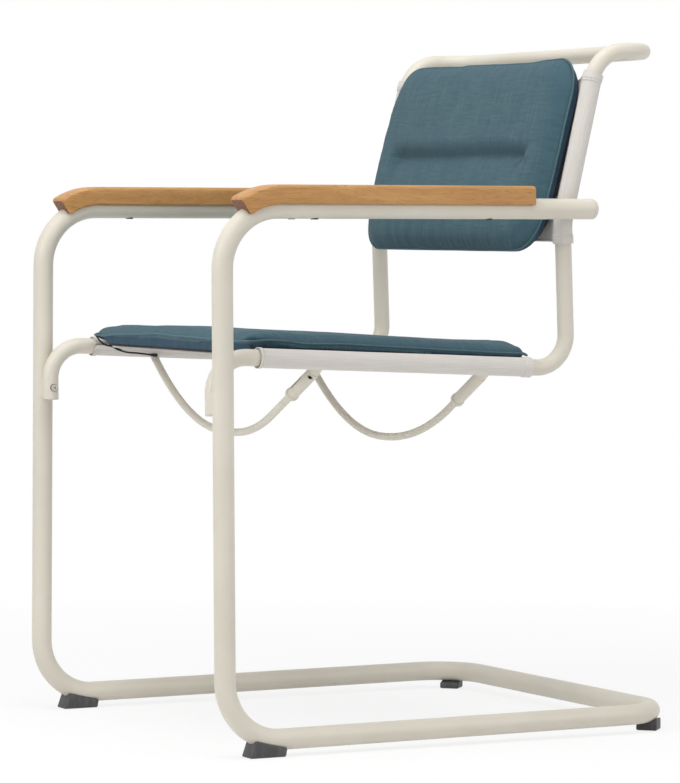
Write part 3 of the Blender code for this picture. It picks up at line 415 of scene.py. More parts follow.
class Finish(Nodes):
    """A material in the making, whose colour is built up from a first tone."""

    def __init__(self, name, tone, roughness=None, **fixed):
        self.mat = bpy.data.materials.new(name)
        self.mat.use_nodes = True
        super().__init__(self.mat.node_tree)
        self.shader = self.tree.nodes["Principled BSDF"]
        if roughness is not None:
            fixed["Roughness"] = roughness
        for key, value in fixed.items():
            self.shader.inputs[key.replace("_", " ")].default_value = value
        self.place = self.put('TexCoord').outputs["Object"]
        self.colour = tone

    def tint(self, value, low, high, tone, share=1.0):
        """Lays a tone over the colour, more the further a value has gone from low to high."""
        self.colour = self.blend(self.levels(value, low, high, 0.0, share), self.colour, tone)

    def done(self, height, depth, rough=None):
        """Feeds the shader its colour, a relief with its depth in metres, and a roughness from (value, low, high)."""
        self.feed(self.shader.inputs["Base Color"], self.colour)
        if rough:
            self.feed(self.shader.inputs["Roughness"], self.levels(rough[0], 0.3, 0.7, *rough[1:]))
        bump = self.put('Bump', None, Strength=1.0, Distance=depth, Height=height)
        self.feed(self.shader.inputs["Normal"], bump.outputs[0])
        return self.mat


def powder_coat():
    made = Finish("sand powder coat", (0.655, 0.615, 0.520), Specular_IOR_Level=0.45)
    dust = made.speckle(made.place, 0.0045, 4.0, 0.6)
    made.tint(made.speckle(made.place, 0.09, 3.0), 0.3, 0.7, (0.700, 0.662, 0.568))
    made.tint(dust, 0.62, 0.80, (0.61, 0.57, 0.48), 0.35)
    return made.done(made.speckle(made.place, 0.0011, 2.0, 0.45), 0.00003, (dust, 0.36, 0.47))


def cap_plastic():
    made = Finish("sand moulded plastic", (0.66, 0.625, 0.535), Specular_IOR_Level=0.4)
    grain = made.speckle(made.place, 0.0006, 3.0, 0.6)
    made.tint(made.speckle(made.place, 0.02, 2.0), 0.3, 0.7, (0.70, 0.665, 0.575))
    return made.done(grain, 0.00003, (grain, 0.40, 0.52))


def foot_plastic():
    made = Finish("charcoal moulded plastic", (0.058, 0.056, 0.060), Specular_IOR_Level=0.4)
    scuff = made.speckle(made.place, 0.006, 4.0, 0.7, (1.0, 1.0, 0.25))
    made.tint(scuff, 0.45, 0.75, (0.100, 0.097, 0.101))
    return made.done(made.speckle(made.place, 0.0007, 4.0, 0.65), 0.00012, (scuff, 0.42, 0.60))


oak_rings = {"wave_type": 'RINGS', "rings_direction": 'Y'}


def end_grain():
    made = Finish("oak end grain", (0.160, 0.062, 0.032), Specular_IOR_Level=0.42)
    pores = made.speckle(made.place, 0.0009, 2.0, 0.6)
    made.tint(made.wave(70.0, 3.0, 3.0, oak_rings, made.place, Detail_Scale=2.0), 0.2, 0.8, (0.215, 0.092, 0.044))
    made.tint(pores, 0.58, 0.72, (0.085, 0.032, 0.016), 0.6)
    return made.done(pores, 0.00012, (pores, 0.50, 0.62))


def oak():
    """Grain that runs along y and sways a little: growth rings, streaks, fine fibres and pores."""
    made = Finish("oiled oak", (0.545, 0.288, 0.094), Specular_IOR_Level=0.42)
    sway = made.speckle(made.place, 0.12, 2.0, 0.5, (1.0, 0.55, 1.0))
    aside = made.put('CombineXYZ', None, X=sway, Y=0.0, Z=sway).outputs[0]
    along = made.put('VectorMath', {"operation": 'MULTIPLY_ADD'}, s0=aside, s1=(0.030, 0.0, 0.030),
                     s2=made.place).outputs[0]
    heart = made.put('Mapping', None, Vector=along, Location=(0.06, 0.0, -0.55), Scale=(1.0, 0.10, 1.0))
    growth = made.wave(24.0, 2.4, 4.0, oak_rings, heart.outputs[0], Detail_Scale=1.2, Detail_Roughness=0.6)
    streak = made.speckle(along, 0.0042, 5.0, 0.62, (1.0, 0.045, 1.0))
    fine = made.speckle(along, 0.0011, 4.0, 0.7, (1.0, 0.035, 1.0))
    pores = made.speckle(along, 0.0008, 2.0, 0.5, (1.0, 0.055, 1.0))
    patch = made.speckle(made.place, 0.05, 2.0, 0.5, (1.0, 0.4, 1.0))
    for value, low, high, tone, share in ((growth, 0.15, 0.85, (0.440, 0.212, 0.061), 1.0),
                                          (streak, 0.40, 0.66, (0.350, 0.155, 0.043), 0.85),
                                          (fine, 0.35, 0.65, (0.580, 0.322, 0.110), 0.55),
                                          (pores, 0.63, 0.70, (0.215, 0.088, 0.028), 0.8),
                                          (patch, 0.35, 0.7, (0.595, 0.310, 0.103), 0.30)):
        made.tint(value, low, high, tone, share)
    height = made.sums('SUBTRACT', fine, made.levels(pores, 0.60, 0.72, 0.0, 0.9))
    return made.done(height, 0.00010, (streak, 0.40, 0.52))


def ribbed_cloth():
    """Open mesh cloth with fine ribs along its length, drawn on its own map, which is in metres."""
    rib_pitch, pick_pitch = 0.0024, 0.0012
    made = Finish("off-white ribbed mesh cloth", (0.650, 0.618, 0.580), 0.78, Specular_IOR_Level=0.25,
                  Sheen_Weight=0.25, Sheen_Roughness=0.5)
    laid = made.put('UVMap', {"uv_map": "weave"}).outputs[0]
    flat = made.put('SeparateXYZ', None, Vector=laid).outputs
    sway = made.speckle(laid, 0.03, 2.0, 0.5, (1.0, 0.15, 1.0))
    lined = made.sums('MULTIPLY_ADD', sway, 0.003, flat[0])
    ribs, picks = [made.sums('MULTIPLY_ADD', made.sine(run, pitch), 0.5, 0.5)
                   for run, pitch in ((lined, rib_pitch), (flat[1], pick_pitch))]
    slub = made.speckle(laid, 0.0022, 3.0, 0.6, (1.0, 0.05, 1.0))
    made.tint(ribs, 0.1, 0.9, (0.722, 0.690, 0.652))
    made.tint(made.speckle(laid, 0.0065, 2.0, 0.5, (1.0, 0.03, 1.0)), 0.35, 0.65, (0.645, 0.605, 0.565), 0.4)
    made.tint(slub, 0.45, 0.70, (0.770, 0.742, 0.710), 0.5)
    made.tint(made.speckle(laid, 0.04, 2.0), 0.35, 0.65, (0.610, 0.575, 0.535), 0.18)
    height = made.sums('MULTIPLY_ADD', ribs, 0.7, made.sums('MULTIPLY', picks, 0.3))
    return made.done(made.sums('MULTIPLY_ADD', slub, 0.5, height), 0.00020)


def hem_cloth():
    """The same mesh cloth where it is rolled, with the thread of its stitches."""
    made = Finish("off-white hem cloth", (0.600, 0.570, 0.535), 0.8, Specular_IOR_Level=0.25, Sheen_Weight=0.25)
    fibre = made.speckle(made.place, 0.0009, 3.0, 0.6)
    bands = made.wave(160.0, 1.0, 1.0, {"bands_direction": 'X'}, made.place)
    made.tint(bands, 0.2, 0.8, (0.730, 0.700, 0.665))
    made.tint(fibre, 0.4, 0.7, (0.50, 0.46, 0.44), 0.4)
    return made.done(made.sums('MULTIPLY_ADD', bands, 0.6, fibre), 0.00025)


def woven(name, turn, tones, thread=0.0011, under=None):
    """Plain weave in three directions, each shown where the surface lies across it, turned to lie with a cushion.

    under gives a plane's y and z shares, the level on it below which the cloth is painted near black as a painted
    shadow where the pad meets the web, and how much that level rises towards the sides."""
    dark, middle, light = tones
    made = Finish(name, dark, 0.86, Specular_IOR_Level=0.15, Sheen_Weight=0.10, Sheen_Roughness=0.5)
    lean = (turn, 0.0, 0.0)
    turned = made.put('Mapping', None, Vector=made.place, Rotation=lean).outputs[0]
    facing_way = made.put('Mapping', {"vector_type": 'NORMAL'}, Rotation=lean,
                          Vector=made.put('NewGeometry').outputs["Normal"]).outputs[0]
    spot, nose = [made.put('SeparateXYZ', None, Vector=v).outputs for v in (turned, facing_way)]
    wobble = made.speckle(turned, 0.012, 2.0)
    cross = slub = 0.0
    for k in range(3):
        run = made.sums('MULTIPLY_ADD', wobble, 0.0012, spot[k])
        share = made.sums('SUBTRACT', 1.0, made.sums('ABSOLUTE', nose[k]))
        stretch = tuple(1.0 if j == k else 0.05 for j in range(3))
        cross = made.sums('MULTIPLY_ADD', made.sine(run, thread), share, cross)
        slub = made.sums('MULTIPLY_ADD', made.speckle(turned, 0.0013, 2.0, 0.5, stretch), share, slub)
    slub = made.sums('MULTIPLY', slub, 0.5)
    made.tint(cross, -1.6, 1.6, middle)
    made.tint(slub, 0.40, 0.62, light, 0.8)
    made.tint(made.speckle(turned, 0.0007, 2.0, 0.6), 0.55, 0.75, light, 0.35)
    made.tint(made.speckle(turned, 0.06, 3.0, 0.5), 0.35, 0.70, dark, 0.22)
    # Painted shadow: below a level on a plane the colour is blended towards near black, standing in for the shadow
    # where the pad's boxing meets the web
    if under:
        y_share, z_share, level, side_rise = under
        plain = made.put('SeparateXYZ', None, Vector=made.place).outputs
        over = made.sums('MULTIPLY_ADD', plain[1], y_share, made.sums('MULTIPLY', plain[2], z_share))
        over = made.sums('SUBTRACT', over, made.levels(made.sums('ABSOLUTE', plain[0]), 0.207, 0.219, 0.0, side_rise))
        made.colour = made.blend(made.levels(over, level, level + 0.0009, 0.93, 0.0), made.colour,
                                 (0.008, 0.010, 0.012))
    return made.done(made.sums('MULTIPLY_ADD', cross, 0.35, made.sums('MULTIPLY', slub, 1.2)), 0.00022)


def elastic():
    made = Finish("black covered elastic", (0.010, 0.012, 0.014), 0.75, Specular_IOR_Level=0.3)
    braid = made.wave(230.0, 0.6, 1.0, {"bands_direction": 'DIAGONAL'}, made.place)
    made.tint(braid, 0.3, 0.7, (0.045, 0.052, 0.058))
    return made.done(braid, 0.0003)


def plated_steel(name, dark, light, metal):
    made = Finish(name, dark, Metallic=metal)
    brushed = made.speckle(made.place, 0.0005, 3.0, 0.6, (0.15, 1.0, 1.0))
    made.tint(brushed, 0.3, 0.7, light)
    return made.done(brushed, 0.00003, (brushed, 0.28, 0.42))


# Tones scaled down by shares: copies of a cloth darkened as painted shade
def shaded(tones, *shares):
    return tuple(tuple(c * s for c, s in zip(tone, shares)) for tone in tones)


def lean_of(front, rear):
    return math.atan2(rear.z - front.z, rear.y - front.y)


seat_pad_front, seat_pad_rear = at(0.0, 51.0, 480.3), at(0.0, 430.0, 461.6)
back_pad_low, back_pad_high = at(0.0, 437.0, 589.0), at(0.0, 500.0, 822.4)
seat_lean, back_lean = lean_of(seat_pad_front, seat_pad_rear), lean_of(back_pad_low, back_pad_high)

paint = powder_coat()
cap_finish = cap_plastic()
foot_finish = foot_plastic()
oak_side = oak()
oak_end = end_grain()
sling_cloth = ribbed_cloth()
sling_hem = hem_cloth()
teal = ((0.045, 0.098, 0.129), (0.064, 0.128, 0.157), (0.094, 0.174, 0.195))
seat_weave = woven("teal weave on the seat", -seat_lean, teal)
back_weave = woven("teal weave on the back", -back_lean, teal)
# The boxing strips are the teal darkened as painted shade, with a painted shadow band along their lowest edge
seat_boxing_painted_shade = woven("teal weave on the seat's boxing", -seat_lean, shaded(teal, 0.46, 0.56, 0.72),
                    under=(0.042589, 1.0, 0.45847, 0.0072))
back_boxing_painted_shade = woven("teal weave on the back's boxing", -back_lean, shaded(teal, 0.50, 0.58, 0.74),
                    under=(-0.9654, 0.2606, 0.0149, 0.0))
piping_weave = woven("teal piping", 0.6, ((0.060, 0.125, 0.155), (0.095, 0.175, 0.205), (0.150, 0.245, 0.265)), 0.0009)
elastic_finish = elastic()
# Near black: painted shade in screw sockets and a painted shadow line round screw heads
socket_and_rim_shade = plated_steel("steel in a shaded socket", (0.006, 0.006, 0.006), (0.016, 0.015, 0.014), 0.0)
pale_plate = plated_steel("pale plated steel", (0.62, 0.585, 0.50), (0.70, 0.665, 0.575), 0.10)


# Tubes

def both_sides(line):
    return line + [mirror(p) for p in line[::-1]]


def make_tubes():
    base = bent_tube(both_sides([arm_rear, arm_front, floor_front, floor_rear]), base_bends + base_bends[::-1], base_r,
                     base_wall, 48)
    hand_over(base, "base_tube", paint, "sand_powder_coat", "base_frame")
    seat = bent_tube(both_sides(seat_corners), seat_bends + seat_bends[::-1], seat_r, seat_wall, 44)
    hand_over(seat, "seat_and_back_tube", paint, "sand_powder_coat", "seat_back_frame")


def end_cap(end, inward, radius, wall, dome, rounding, foot_round, plug):
    """A moulded cap: a domed head with a fine shadow line where it meets the tube and a plug inside it."""
    out = -inward
    rim, foot = end + out * dome, end + out * 0.3 * MM
    cap = rod(foot, rim, radius, 48)
    open_edit(cap)
    for ring, width, segments in ((rim, rounding, 8), (foot, foot_round, 2)):
        pick('EDGE', lambda a, b: abs((a - ring).dot(out)) < 1e-6 and abs((b - ring).dot(out)) < 1e-6)
        bevel(width, segments)
    pick('FACE', lambda p, n: n.dot(out) < -0.99)
    inset(wall + 0.3 * MM)
    pull(inward * plug)
    close_edit()
    return cap


def make_caps():
    cap = end_cap(arm_rear, arm_way, base_r, base_wall, 6.8 * MM, 5.6 * MM, 0.5 * MM, 14.0 * MM)
    put_down(shade(cap), "arm_end_cap_right", cap_finish)
    finish_pair(cap, "sand_plastic", "arm_cap")
    foot, above = seat_corners[0], seat_corners[1]
    plug = end_cap(foot, (above - foot).normalized(), seat_r - 0.2 * MM, seat_wall, 0.9 * MM, 0.35 * MM, 0.2 * MM,
                   7.0 * MM)
    put_down(shade(plug), "seat_tube_plug_right", cap_finish)
    finish_pair(plug, "sand_plastic", "seat_plug")


# Arm rests

def make_arm_rest():
    """A rounded bar of oak drawn along the arm and part of the front bend, grooved over the tube."""
    bare_end, round_bend, edge_r = 84.3 * MM, 42.0 * MM, 5.0 * MM
    low, high, half = 4.4 * MM, 27.4 * MM, 17.5 * MM
    along = arm_way
    up = (UP - along * UP.dot(along)).normalized()
    side = along.cross(up)
    start = arm_rear + along * bare_end
    deselect()
    bpy.ops.mesh.primitive_plane_add(size=1.0)
    rest = bpy.context.object
    rest.scale = (half * 2.0, high - low, 1.0)
    rest.rotation_euler = Matrix((side, up, side.cross(up))).transposed().to_euler()
    rest.location = start + up * (low + high) / 2.0
    settle()
    open_edit(rest)
    take_all()
    bpy.ops.mesh.delete(type='ONLY_FACE')
    take_all()
    bend_r = base_bends[0]
    bend, _, centre, axis, *_ = bend_at((arm_rear, arm_front, floor_front), 1, bend_r)
    pull(bend - start)
    wrap = round_bend / bend_r
    bpy.ops.mesh.spin(steps=10, angle=-wrap, center=centre, axis=axis)
    take_all()
    bpy.ops.mesh.remove_doubles(threshold=0.00001)
    bpy.ops.mesh.fill_holes(sides=0)
    close_edit()
    outward(rest)
    tip_way = Matrix.Rotation(wrap, 3, axis) @ along

    def over_tube(p):
        if (p - bend).dot(along) <= 0.0:
            return (p - start).dot(up)
        return ((p - centre) - axis * (p - centre).dot(axis)).length - bend_r

    open_edit(rest)
    bpy.ops.mesh.select_mode(type='EDGE')
    bpy.ops.mesh.select_all(action='DESELECT')
    bpy.ops.mesh.edges_select_sharp(sharpness=math.radians(30.0))
    bpy.ops.transform.edge_bevelweight(value=1.0)
    pick('EDGE', lambda a, b: over_tube(a) < low + 0.5 * MM and over_tube(b) < low + 0.5 * MM
         and (abs((a - b).normalized().dot(side)) > 0.5 or (a - b).length > 3.0 * MM))
    bpy.ops.transform.edge_bevelweight(value=-0.5)
    close_edit()
    edges = rest.modifiers.new("rounded edges", 'BEVEL')
    edges.limit_method = 'WEIGHT'
    edges.width = edge_r
    edges.segments = 7
    apply_all(rest)
    cut(rest, bent_tube([arm_rear - along * 5.0 * MM, arm_front, floor_front], [bend_r], base_r + 0.35 * MM, 0.0, 48))
    put_down(shade(rest, 30.0), "arm_rest_right", oak_side, oak_end)
    refinish(rest, 1, lambda p, n: n.dot(tip_way) > 0.94 or n.dot(along) < -0.94)
    finish_pair(rest, "oiled_oak", "armrest")


# Screws

def make_screw(length, head, key, coat):
    """A flat head screw, face up: a fine ring runs round inside its rim, and a hexagon socket is sunk in it. The socket
    and the head's side and rounded rim are painted near black as painted shade.
    """
    screw = pin(-1.8 * MM, 0.6 * MM, head)
    open_edit(screw)
    pick('EDGE', lambda a, b: a.z > 0.5 * MM and b.z > 0.5 * MM)
    bevel(0.45 * MM, 3)
    pick('FACE', lambda p, n: n.z > 0.99)
    inset(0.35 * MM)
    pull((0.0, 0.0, -0.4 * MM))
    inset(0.3 * MM)
    pull((0.0, 0.0, 0.4 * MM))
    pick('FACE', lambda p, n: n.z < -0.99 and p.z < -1.0 * MM)
    inset(head * 0.47)
    pull((0.0, 0.0, -length))
    close_edit()
    screw.data.materials.append(coat)
    cut(screw, pin(-1.7 * MM, 4.0 * MM, key, 6))
    screw.data.materials.append(socket_and_rim_shade)
    # Painted shade: the socket's faces and the head's side and rounded rim get the near black finish
    refinish(screw, 1, lambda p, n: -1.78 * MM < p.z < 0.58 * MM and (
        math.hypot(p.x, p.y) < key * 1.01 or math.hypot(p.x, p.y) > head - 0.40 * MM))
    return shade(screw, 30.0)


def make_screws():
    head_high = 3.0 * MM
    blank = make_screw(6.0 * MM, 4.7 * MM, 2.2 * MM, pale_plate)
    for node in [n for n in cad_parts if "_screw" in n and "strut" not in n]:
        low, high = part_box(node)
        middle = (low + high) / 2.0
        if node.startswith("armrest"):
            seat, inward = Vector((middle.x, middle.y, low.z + head_high)), UP
        else:
            out = math.copysign(1.0, middle.x)
            inner = high.x if middle.x < 0.0 else low.x
            seat, inward = Vector((inner + out * head_high, middle.y, middle.z)), Vector((out, 0.0, 0.0))
        turn = (-inward).to_track_quat('Z', 'Y').to_matrix().to_4x4()
        finish_piece(copy_of(blank, node + "_head", Matrix.Translation(seat) @ turn), "zinc_screw", node)
    bpy.data.objects.remove(blank, do_unlink=True)


# Feet

def make_foot(name, place, low_y, high_y, tops, tube_tool):
    """A wedge of plastic that cups the tube. tops gives its top corners, by side and by end."""
    width, blank_height = 26.0 * MM, 4.0 * MM
    middle = (low_y + high_y) / 2.0
    foot = block((width, high_y - low_y, blank_height), (0.0, middle, blank_height / 2.0))
    for v in foot.data.vertices:
        if v.co.z > blank_height / 2.0:
            v.co.y, v.co.z = tops(v.co.x > 0.0, v.co.y > middle)
    open_edit(move_to(foot, place))
    take_all()
    bevel(2.0 * MM, 4)
    close_edit()
    cut(foot, tube_tool)
    open_edit(foot)
    pick('FACE', lambda p, n: n.z < -0.99 and p.z < 0.3 * MM)
    inset(2.5 * MM)
    pull((0.0, 0.0, 0.6 * MM))
    close_edit()
    return put_down(shade(foot, 30.0), name, foot_finish)


def make_feet():
    def tube_tool():
        return bent_tube(both_sides([arm_front, floor_front, floor_rear]), base_bends[1:] + base_bends[:0:-1],
                         base_r + 0.3 * MM, 0.0, 48)

    def front_tops(right, rear):
        return (row(75.0), 10.4 * MM) if rear else (row(34.0), 20.0 * MM)

    def rear_tops(right, rear):
        return (12.5 if rear else -12.5) * MM, (14.5 if right else 8.0) * MM

    front = make_foot("front_glide_right", Matrix.Translation((floor_front.x, 0.0, 0.0)), row(26.8), row(73.2),
                      front_tops, tube_tool())
    finish_pair(front, "charcoal_plastic", "front_foot")
    corner_r = base_bends[2]
    corner = Vector((floor_rear.x - corner_r, floor_rear.y - corner_r, 0.0))
    centre = corner + Vector((1.0, 1.0, 0.0)).normalized() * corner_r
    place = Matrix.Translation(centre) @ Matrix.Rotation(math.radians(45.0), 4, 'Z')
    rear = make_foot("rear_glide_right", place, -12.5 * MM, 12.5 * MM, rear_tops, tube_tool())
    finish_pair(rear, "charcoal_plastic", "rear_foot")


# Spreader struts under the seat

def strut_line(y, far_z, low_x, low_z, sleeve_low, along, bend_r):
    """The strut's bowed bar: down from the left bracket, level at its lowest, and round a bend into the sleeve."""
    start, low = at(-seat_half + 13.7, y, far_z), at(low_x, y, low_z)
    slow = 2.05
    points = [Vector((start.x + (low.x - start.x) * t, start.y, low.z + (start.z - low.z) * (1.0 - t) ** slow))
              for t in (k / 40.0 for k in range(40))]
    corner = sleeve_low - along * ((sleeve_low.z - low.z) / along.z)
    into = (corner - low).normalized()
    turn = into.angle(along)
    reach = min(bend_r * math.tan(turn / 2.0), (corner - low).length, (sleeve_low - corner).length)
    radius = reach / math.tan(turn / 2.0)
    axis = into.cross(along).normalized()
    first = corner - into * reach
    centre = first + axis.cross(into) * radius
    if (first - low).length > 1e-4:
        points.append(low)
    points += [centre + Matrix.Rotation(turn * k / 24.0, 3, axis) @ (first - centre) for k in range(25)]
    return points + [sleeve_low + along * 12.0 * MM]


def along_frame(origin, along):
    return Matrix.Translation(origin) @ Matrix((REARWARD.cross(along), REARWARD, along)).transposed().to_4x4()


def rail_tool(side, y, reach, radius):
    return rod(*(at(side * seat_half, y + d, rail_z(y + d)) for d in (-reach, reach)), radius, 64)


def make_strut(kind, y, far_drop, low_x, low_drop, sleeve_drop, near_drop, bend_r, facing_turn):
    """A spreader strut in the row y. The drops are how far its points hang below the rails' axes."""
    bar_r, sleeve_r = 4.7 * MM, 7.5 * MM

    def part_of(name, node, piece, smooth=30.0):
        hand_over(piece, kind + "_strut_" + name, paint, "sand_powder_coat", kind + "_strut_" + node, smooth=smooth)

    rail = rail_z(y)
    low_end, top_end = at(seat_half - 76.2, y, rail - sleeve_drop), at(seat_half - 19.7, y, rail - near_drop)
    along = (top_end - low_end).normalized()
    length = (top_end - low_end).length
    points = strut_line(y, rail - far_drop, low_x, rail - low_drop, low_end, along, bend_r)
    part_of("bar", "rod", drawn_bar(points, bar_r, sides=20), 35.0)

    leave = (points[0] - points[1]).normalized()
    spigot = rod(points[0] - leave * 0.3 * MM, points[0] + leave * 20.0 * MM, bar_r + 0.2 * MM, 32)
    cut(spigot, rail_tool(LEFT, y, 20.0, 11.9 * MM))
    part_of("spigot_left", "bracket_left", spigot, 35.0)

    turned = along_frame(low_end, along) @ Matrix.Rotation(math.radians(facing_turn), 4, 'Z')
    hinge = 55.0 * MM / along.x
    sleeve = pin(0.0, hinge + 5.5 * MM, sleeve_r)
    open_edit(sleeve)
    round_ends(0.8 * MM, 3)
    close_edit()
    cut(sleeve, pin(-0.01, hinge - 6.0 * MM, 5.0 * MM))
    slot = block((30.0 * MM, 4.4 * MM, length * 0.5), (-15.0 * MM, 0.0, length * 0.47))
    open_edit(slot)
    pick('EDGE', lambda a, b: abs(a.y - b.y) < 1e-6 and abs(a.z - b.z) < 1e-6)
    bevel(2.15 * MM, 6)
    close_edit()
    cut(sleeve, move_to(slot, Matrix.Rotation(math.radians(14.0), 4, 'Z')))
    cut(sleeve, rod(Vector((0.0, -0.02, hinge)), Vector((0.0, -4.6 * MM, hinge)), 3.5 * MM, 24))
    sleeve.matrix_world = turned
    part_of("slotted_sleeve", "sleeve", sleeve)

    screw = make_screw(3.0 * MM, 3.4 * MM, 2.6 * MM, paint)
    move_to(screw, turned @ Matrix.Translation((0.0, -6.6 * MM, hinge)) @ Matrix.Rotation(math.radians(90.0), 4, 'X'))
    screw.name = screw.data.name = kind + "_strut_screw_head"
    finish_piece(screw, "zinc_screw", kind + "_strut_screw")

    pivot = low_end + along * hinge
    axis_spot = at(seat_half, y, rail)
    up_out = (axis_spot - pivot).normalized()
    deselect()
    bpy.ops.mesh.primitive_cone_add(vertices=40, radius1=7.0 * MM, radius2=8.6 * MM,
                                    depth=(axis_spot - pivot).length, location=(pivot + axis_spot) / 2.0,
                                    rotation=facing(up_out))
    neck = bpy.context.object
    settle()
    open_edit(neck)
    pick('EDGE', lambda a, b: abs((a - pivot).dot(up_out)) < 1e-5 and abs((b - pivot).dot(up_out)) < 1e-5)
    bevel(2.5 * MM, 4)
    close_edit()
    cut(neck, rail_tool(RIGHT, y, 25.0, 11.95 * MM))
    cut(neck, rod(low_end, low_end + along * (hinge + 5.4 * MM), 7.4 * MM, 40))
    part_of("neck", "bracket_right", neck)

    collar = pin(0.0, 5.6 * MM, sleeve_r + 1.0 * MM)
    open_edit(collar)
    round_ends(1.3 * MM, 4)
    pick('FACE', lambda p, n: n.z < -0.99)
    inset(0.35 * MM)
    pull((0.0, 0.0, -3.2 * MM))
    bevel(0.6 * MM, 3)
    close_edit()
    cut(collar, pin(-0.3 * MM, 0.01, 7.6 * MM))
    cut(collar, pin(-0.01, 0.001, 4.95 * MM))
    collar.matrix_world = along_frame(low_end, along)
    part_of("collar_ring", "collar", collar)


# Slung cloth

cloth_mid_r = 11.0
cloth_thick = 1.2 * MM
# The web lies flat in the middle and leaves the tubes at a slant
web_level = 1.5
web_lean = math.radians(35.0)
web_leave_x = seat_half - cloth_mid_r * math.sin(web_lean)
web_leave_h = cloth_mid_r * math.cos(web_lean)
web_flat_x = seat_half - 38.0
# The cushions keep this far off the middle of the web, and stitches run this far inside a sewn band's edge
web_clear = 1.1
stitch_in = 1.8


def web_height(x):
    """Height of the slung web over the tubes' axes at a distance from the middle, in millimetres."""
    if x <= web_flat_x:
        return web_level
    run = web_leave_x - web_flat_x
    t = min((x - web_flat_x) / run, 1.0)
    return web_level + (web_leave_h - web_level) * (3.0 * t * t - 2.0 * t ** 3) + math.tan(web_lean) * run * (
        t ** 3 - t * t)


def run_lengths(points, apart=math.dist):
    """Length along a line at each of its points."""
    runs = [0.0]
    for a, b in zip(points[:-1], points[1:]):
        runs.append(runs[-1] + apart(a, b))
    return runs


def above(way):
    """The direction that stands off the slung web where its tubes run one way."""
    return Vector((1.0, 0.0, 0.0)).cross(way).normalized()


def half_section():
    """Half of the cloth's section as (x, height): the web, round the tube and back under the web."""
    under = 1.5
    line = [(0.0, web_level)]
    line += [(12.0 + (web_flat_x - 12.0) * k / 18.0, web_level) for k in range(19)]
    line += [(x, web_height(x)) for x in (web_flat_x + (web_leave_x - web_flat_x) * k / 14.0 for k in range(1, 15))]
    first, last = math.radians(125.0), math.radians(-158.0)
    line += [(seat_half + cloth_mid_r * math.cos(a), cloth_mid_r * math.sin(a))
             for a in (first + (last - first) * k / 34.0 for k in range(1, 35))]
    end_x, end_h = line[-1]
    for t in (k / 5.0 for k in range(1, 6)):
        x = end_x + (seat_half - 19.0 - end_x) * t
        line.append((x, end_h * (1.0 - t) + (web_height(x) - under) * t))
    return line + [(seat_half - inner, web_height(seat_half - inner) - under) for inner in (22.0, 25.0, 28.0, 31.0)]


def tube_stations(low, high, axis, count, seams):
    """Places and directions on the right tube's axis between two depths or heights: evenly spaced, and at the seams."""
    bend_parts = 24
    points = []
    here = seat_corners[0]
    for k in range(1, len(seat_corners) - 1):
        start, end, centre, way, turn, into = bend_at(seat_corners, k, seat_bends[k - 1])
        straight = max(1, int((start - here).length / (2.0 * MM)))
        points += [(here.lerp(start, j / straight), into) for j in range(straight)]
        for j in range(bend_parts):
            spin = Matrix.Rotation(turn * j / bend_parts, 3, way)
            points.append((centre + spin @ (start - centre), spin @ into))
        here = end
    kept = [(p, d) for p, d in points if low <= p[axis] <= high and (axis == 1 or (d.z > 0.5 and p.y > 0.0))]
    runs = run_lengths([p for p, _ in kept], lambda a, b: (b - a).length)
    length = runs[-1]
    wanted = {round(length * j / count, 7) for j in range(count + 1)}
    for seam in seams:
        spot = seam * MM if seam >= 0.0 else length + seam * MM
        wanted = {w for w in wanted if abs(w - spot) > 0.9 * MM or w in (0.0, round(length, 7))}
        wanted |= {round(spot + d * MM, 7) for d in (-0.45, -0.15, 0.15, 0.45)}
    out = []
    for want in sorted(wanted):
        k = max(i for i, r in enumerate(runs) if r <= want + 1e-9)
        k = min(k, len(kept) - 2)
        t = (want - runs[k]) / (runs[k + 1] - runs[k])
        out.append((kept[k][0].lerp(kept[k + 1][0], t), kept[k][1].lerp(kept[k + 1][1], t).normalized(), want))
    return out, length


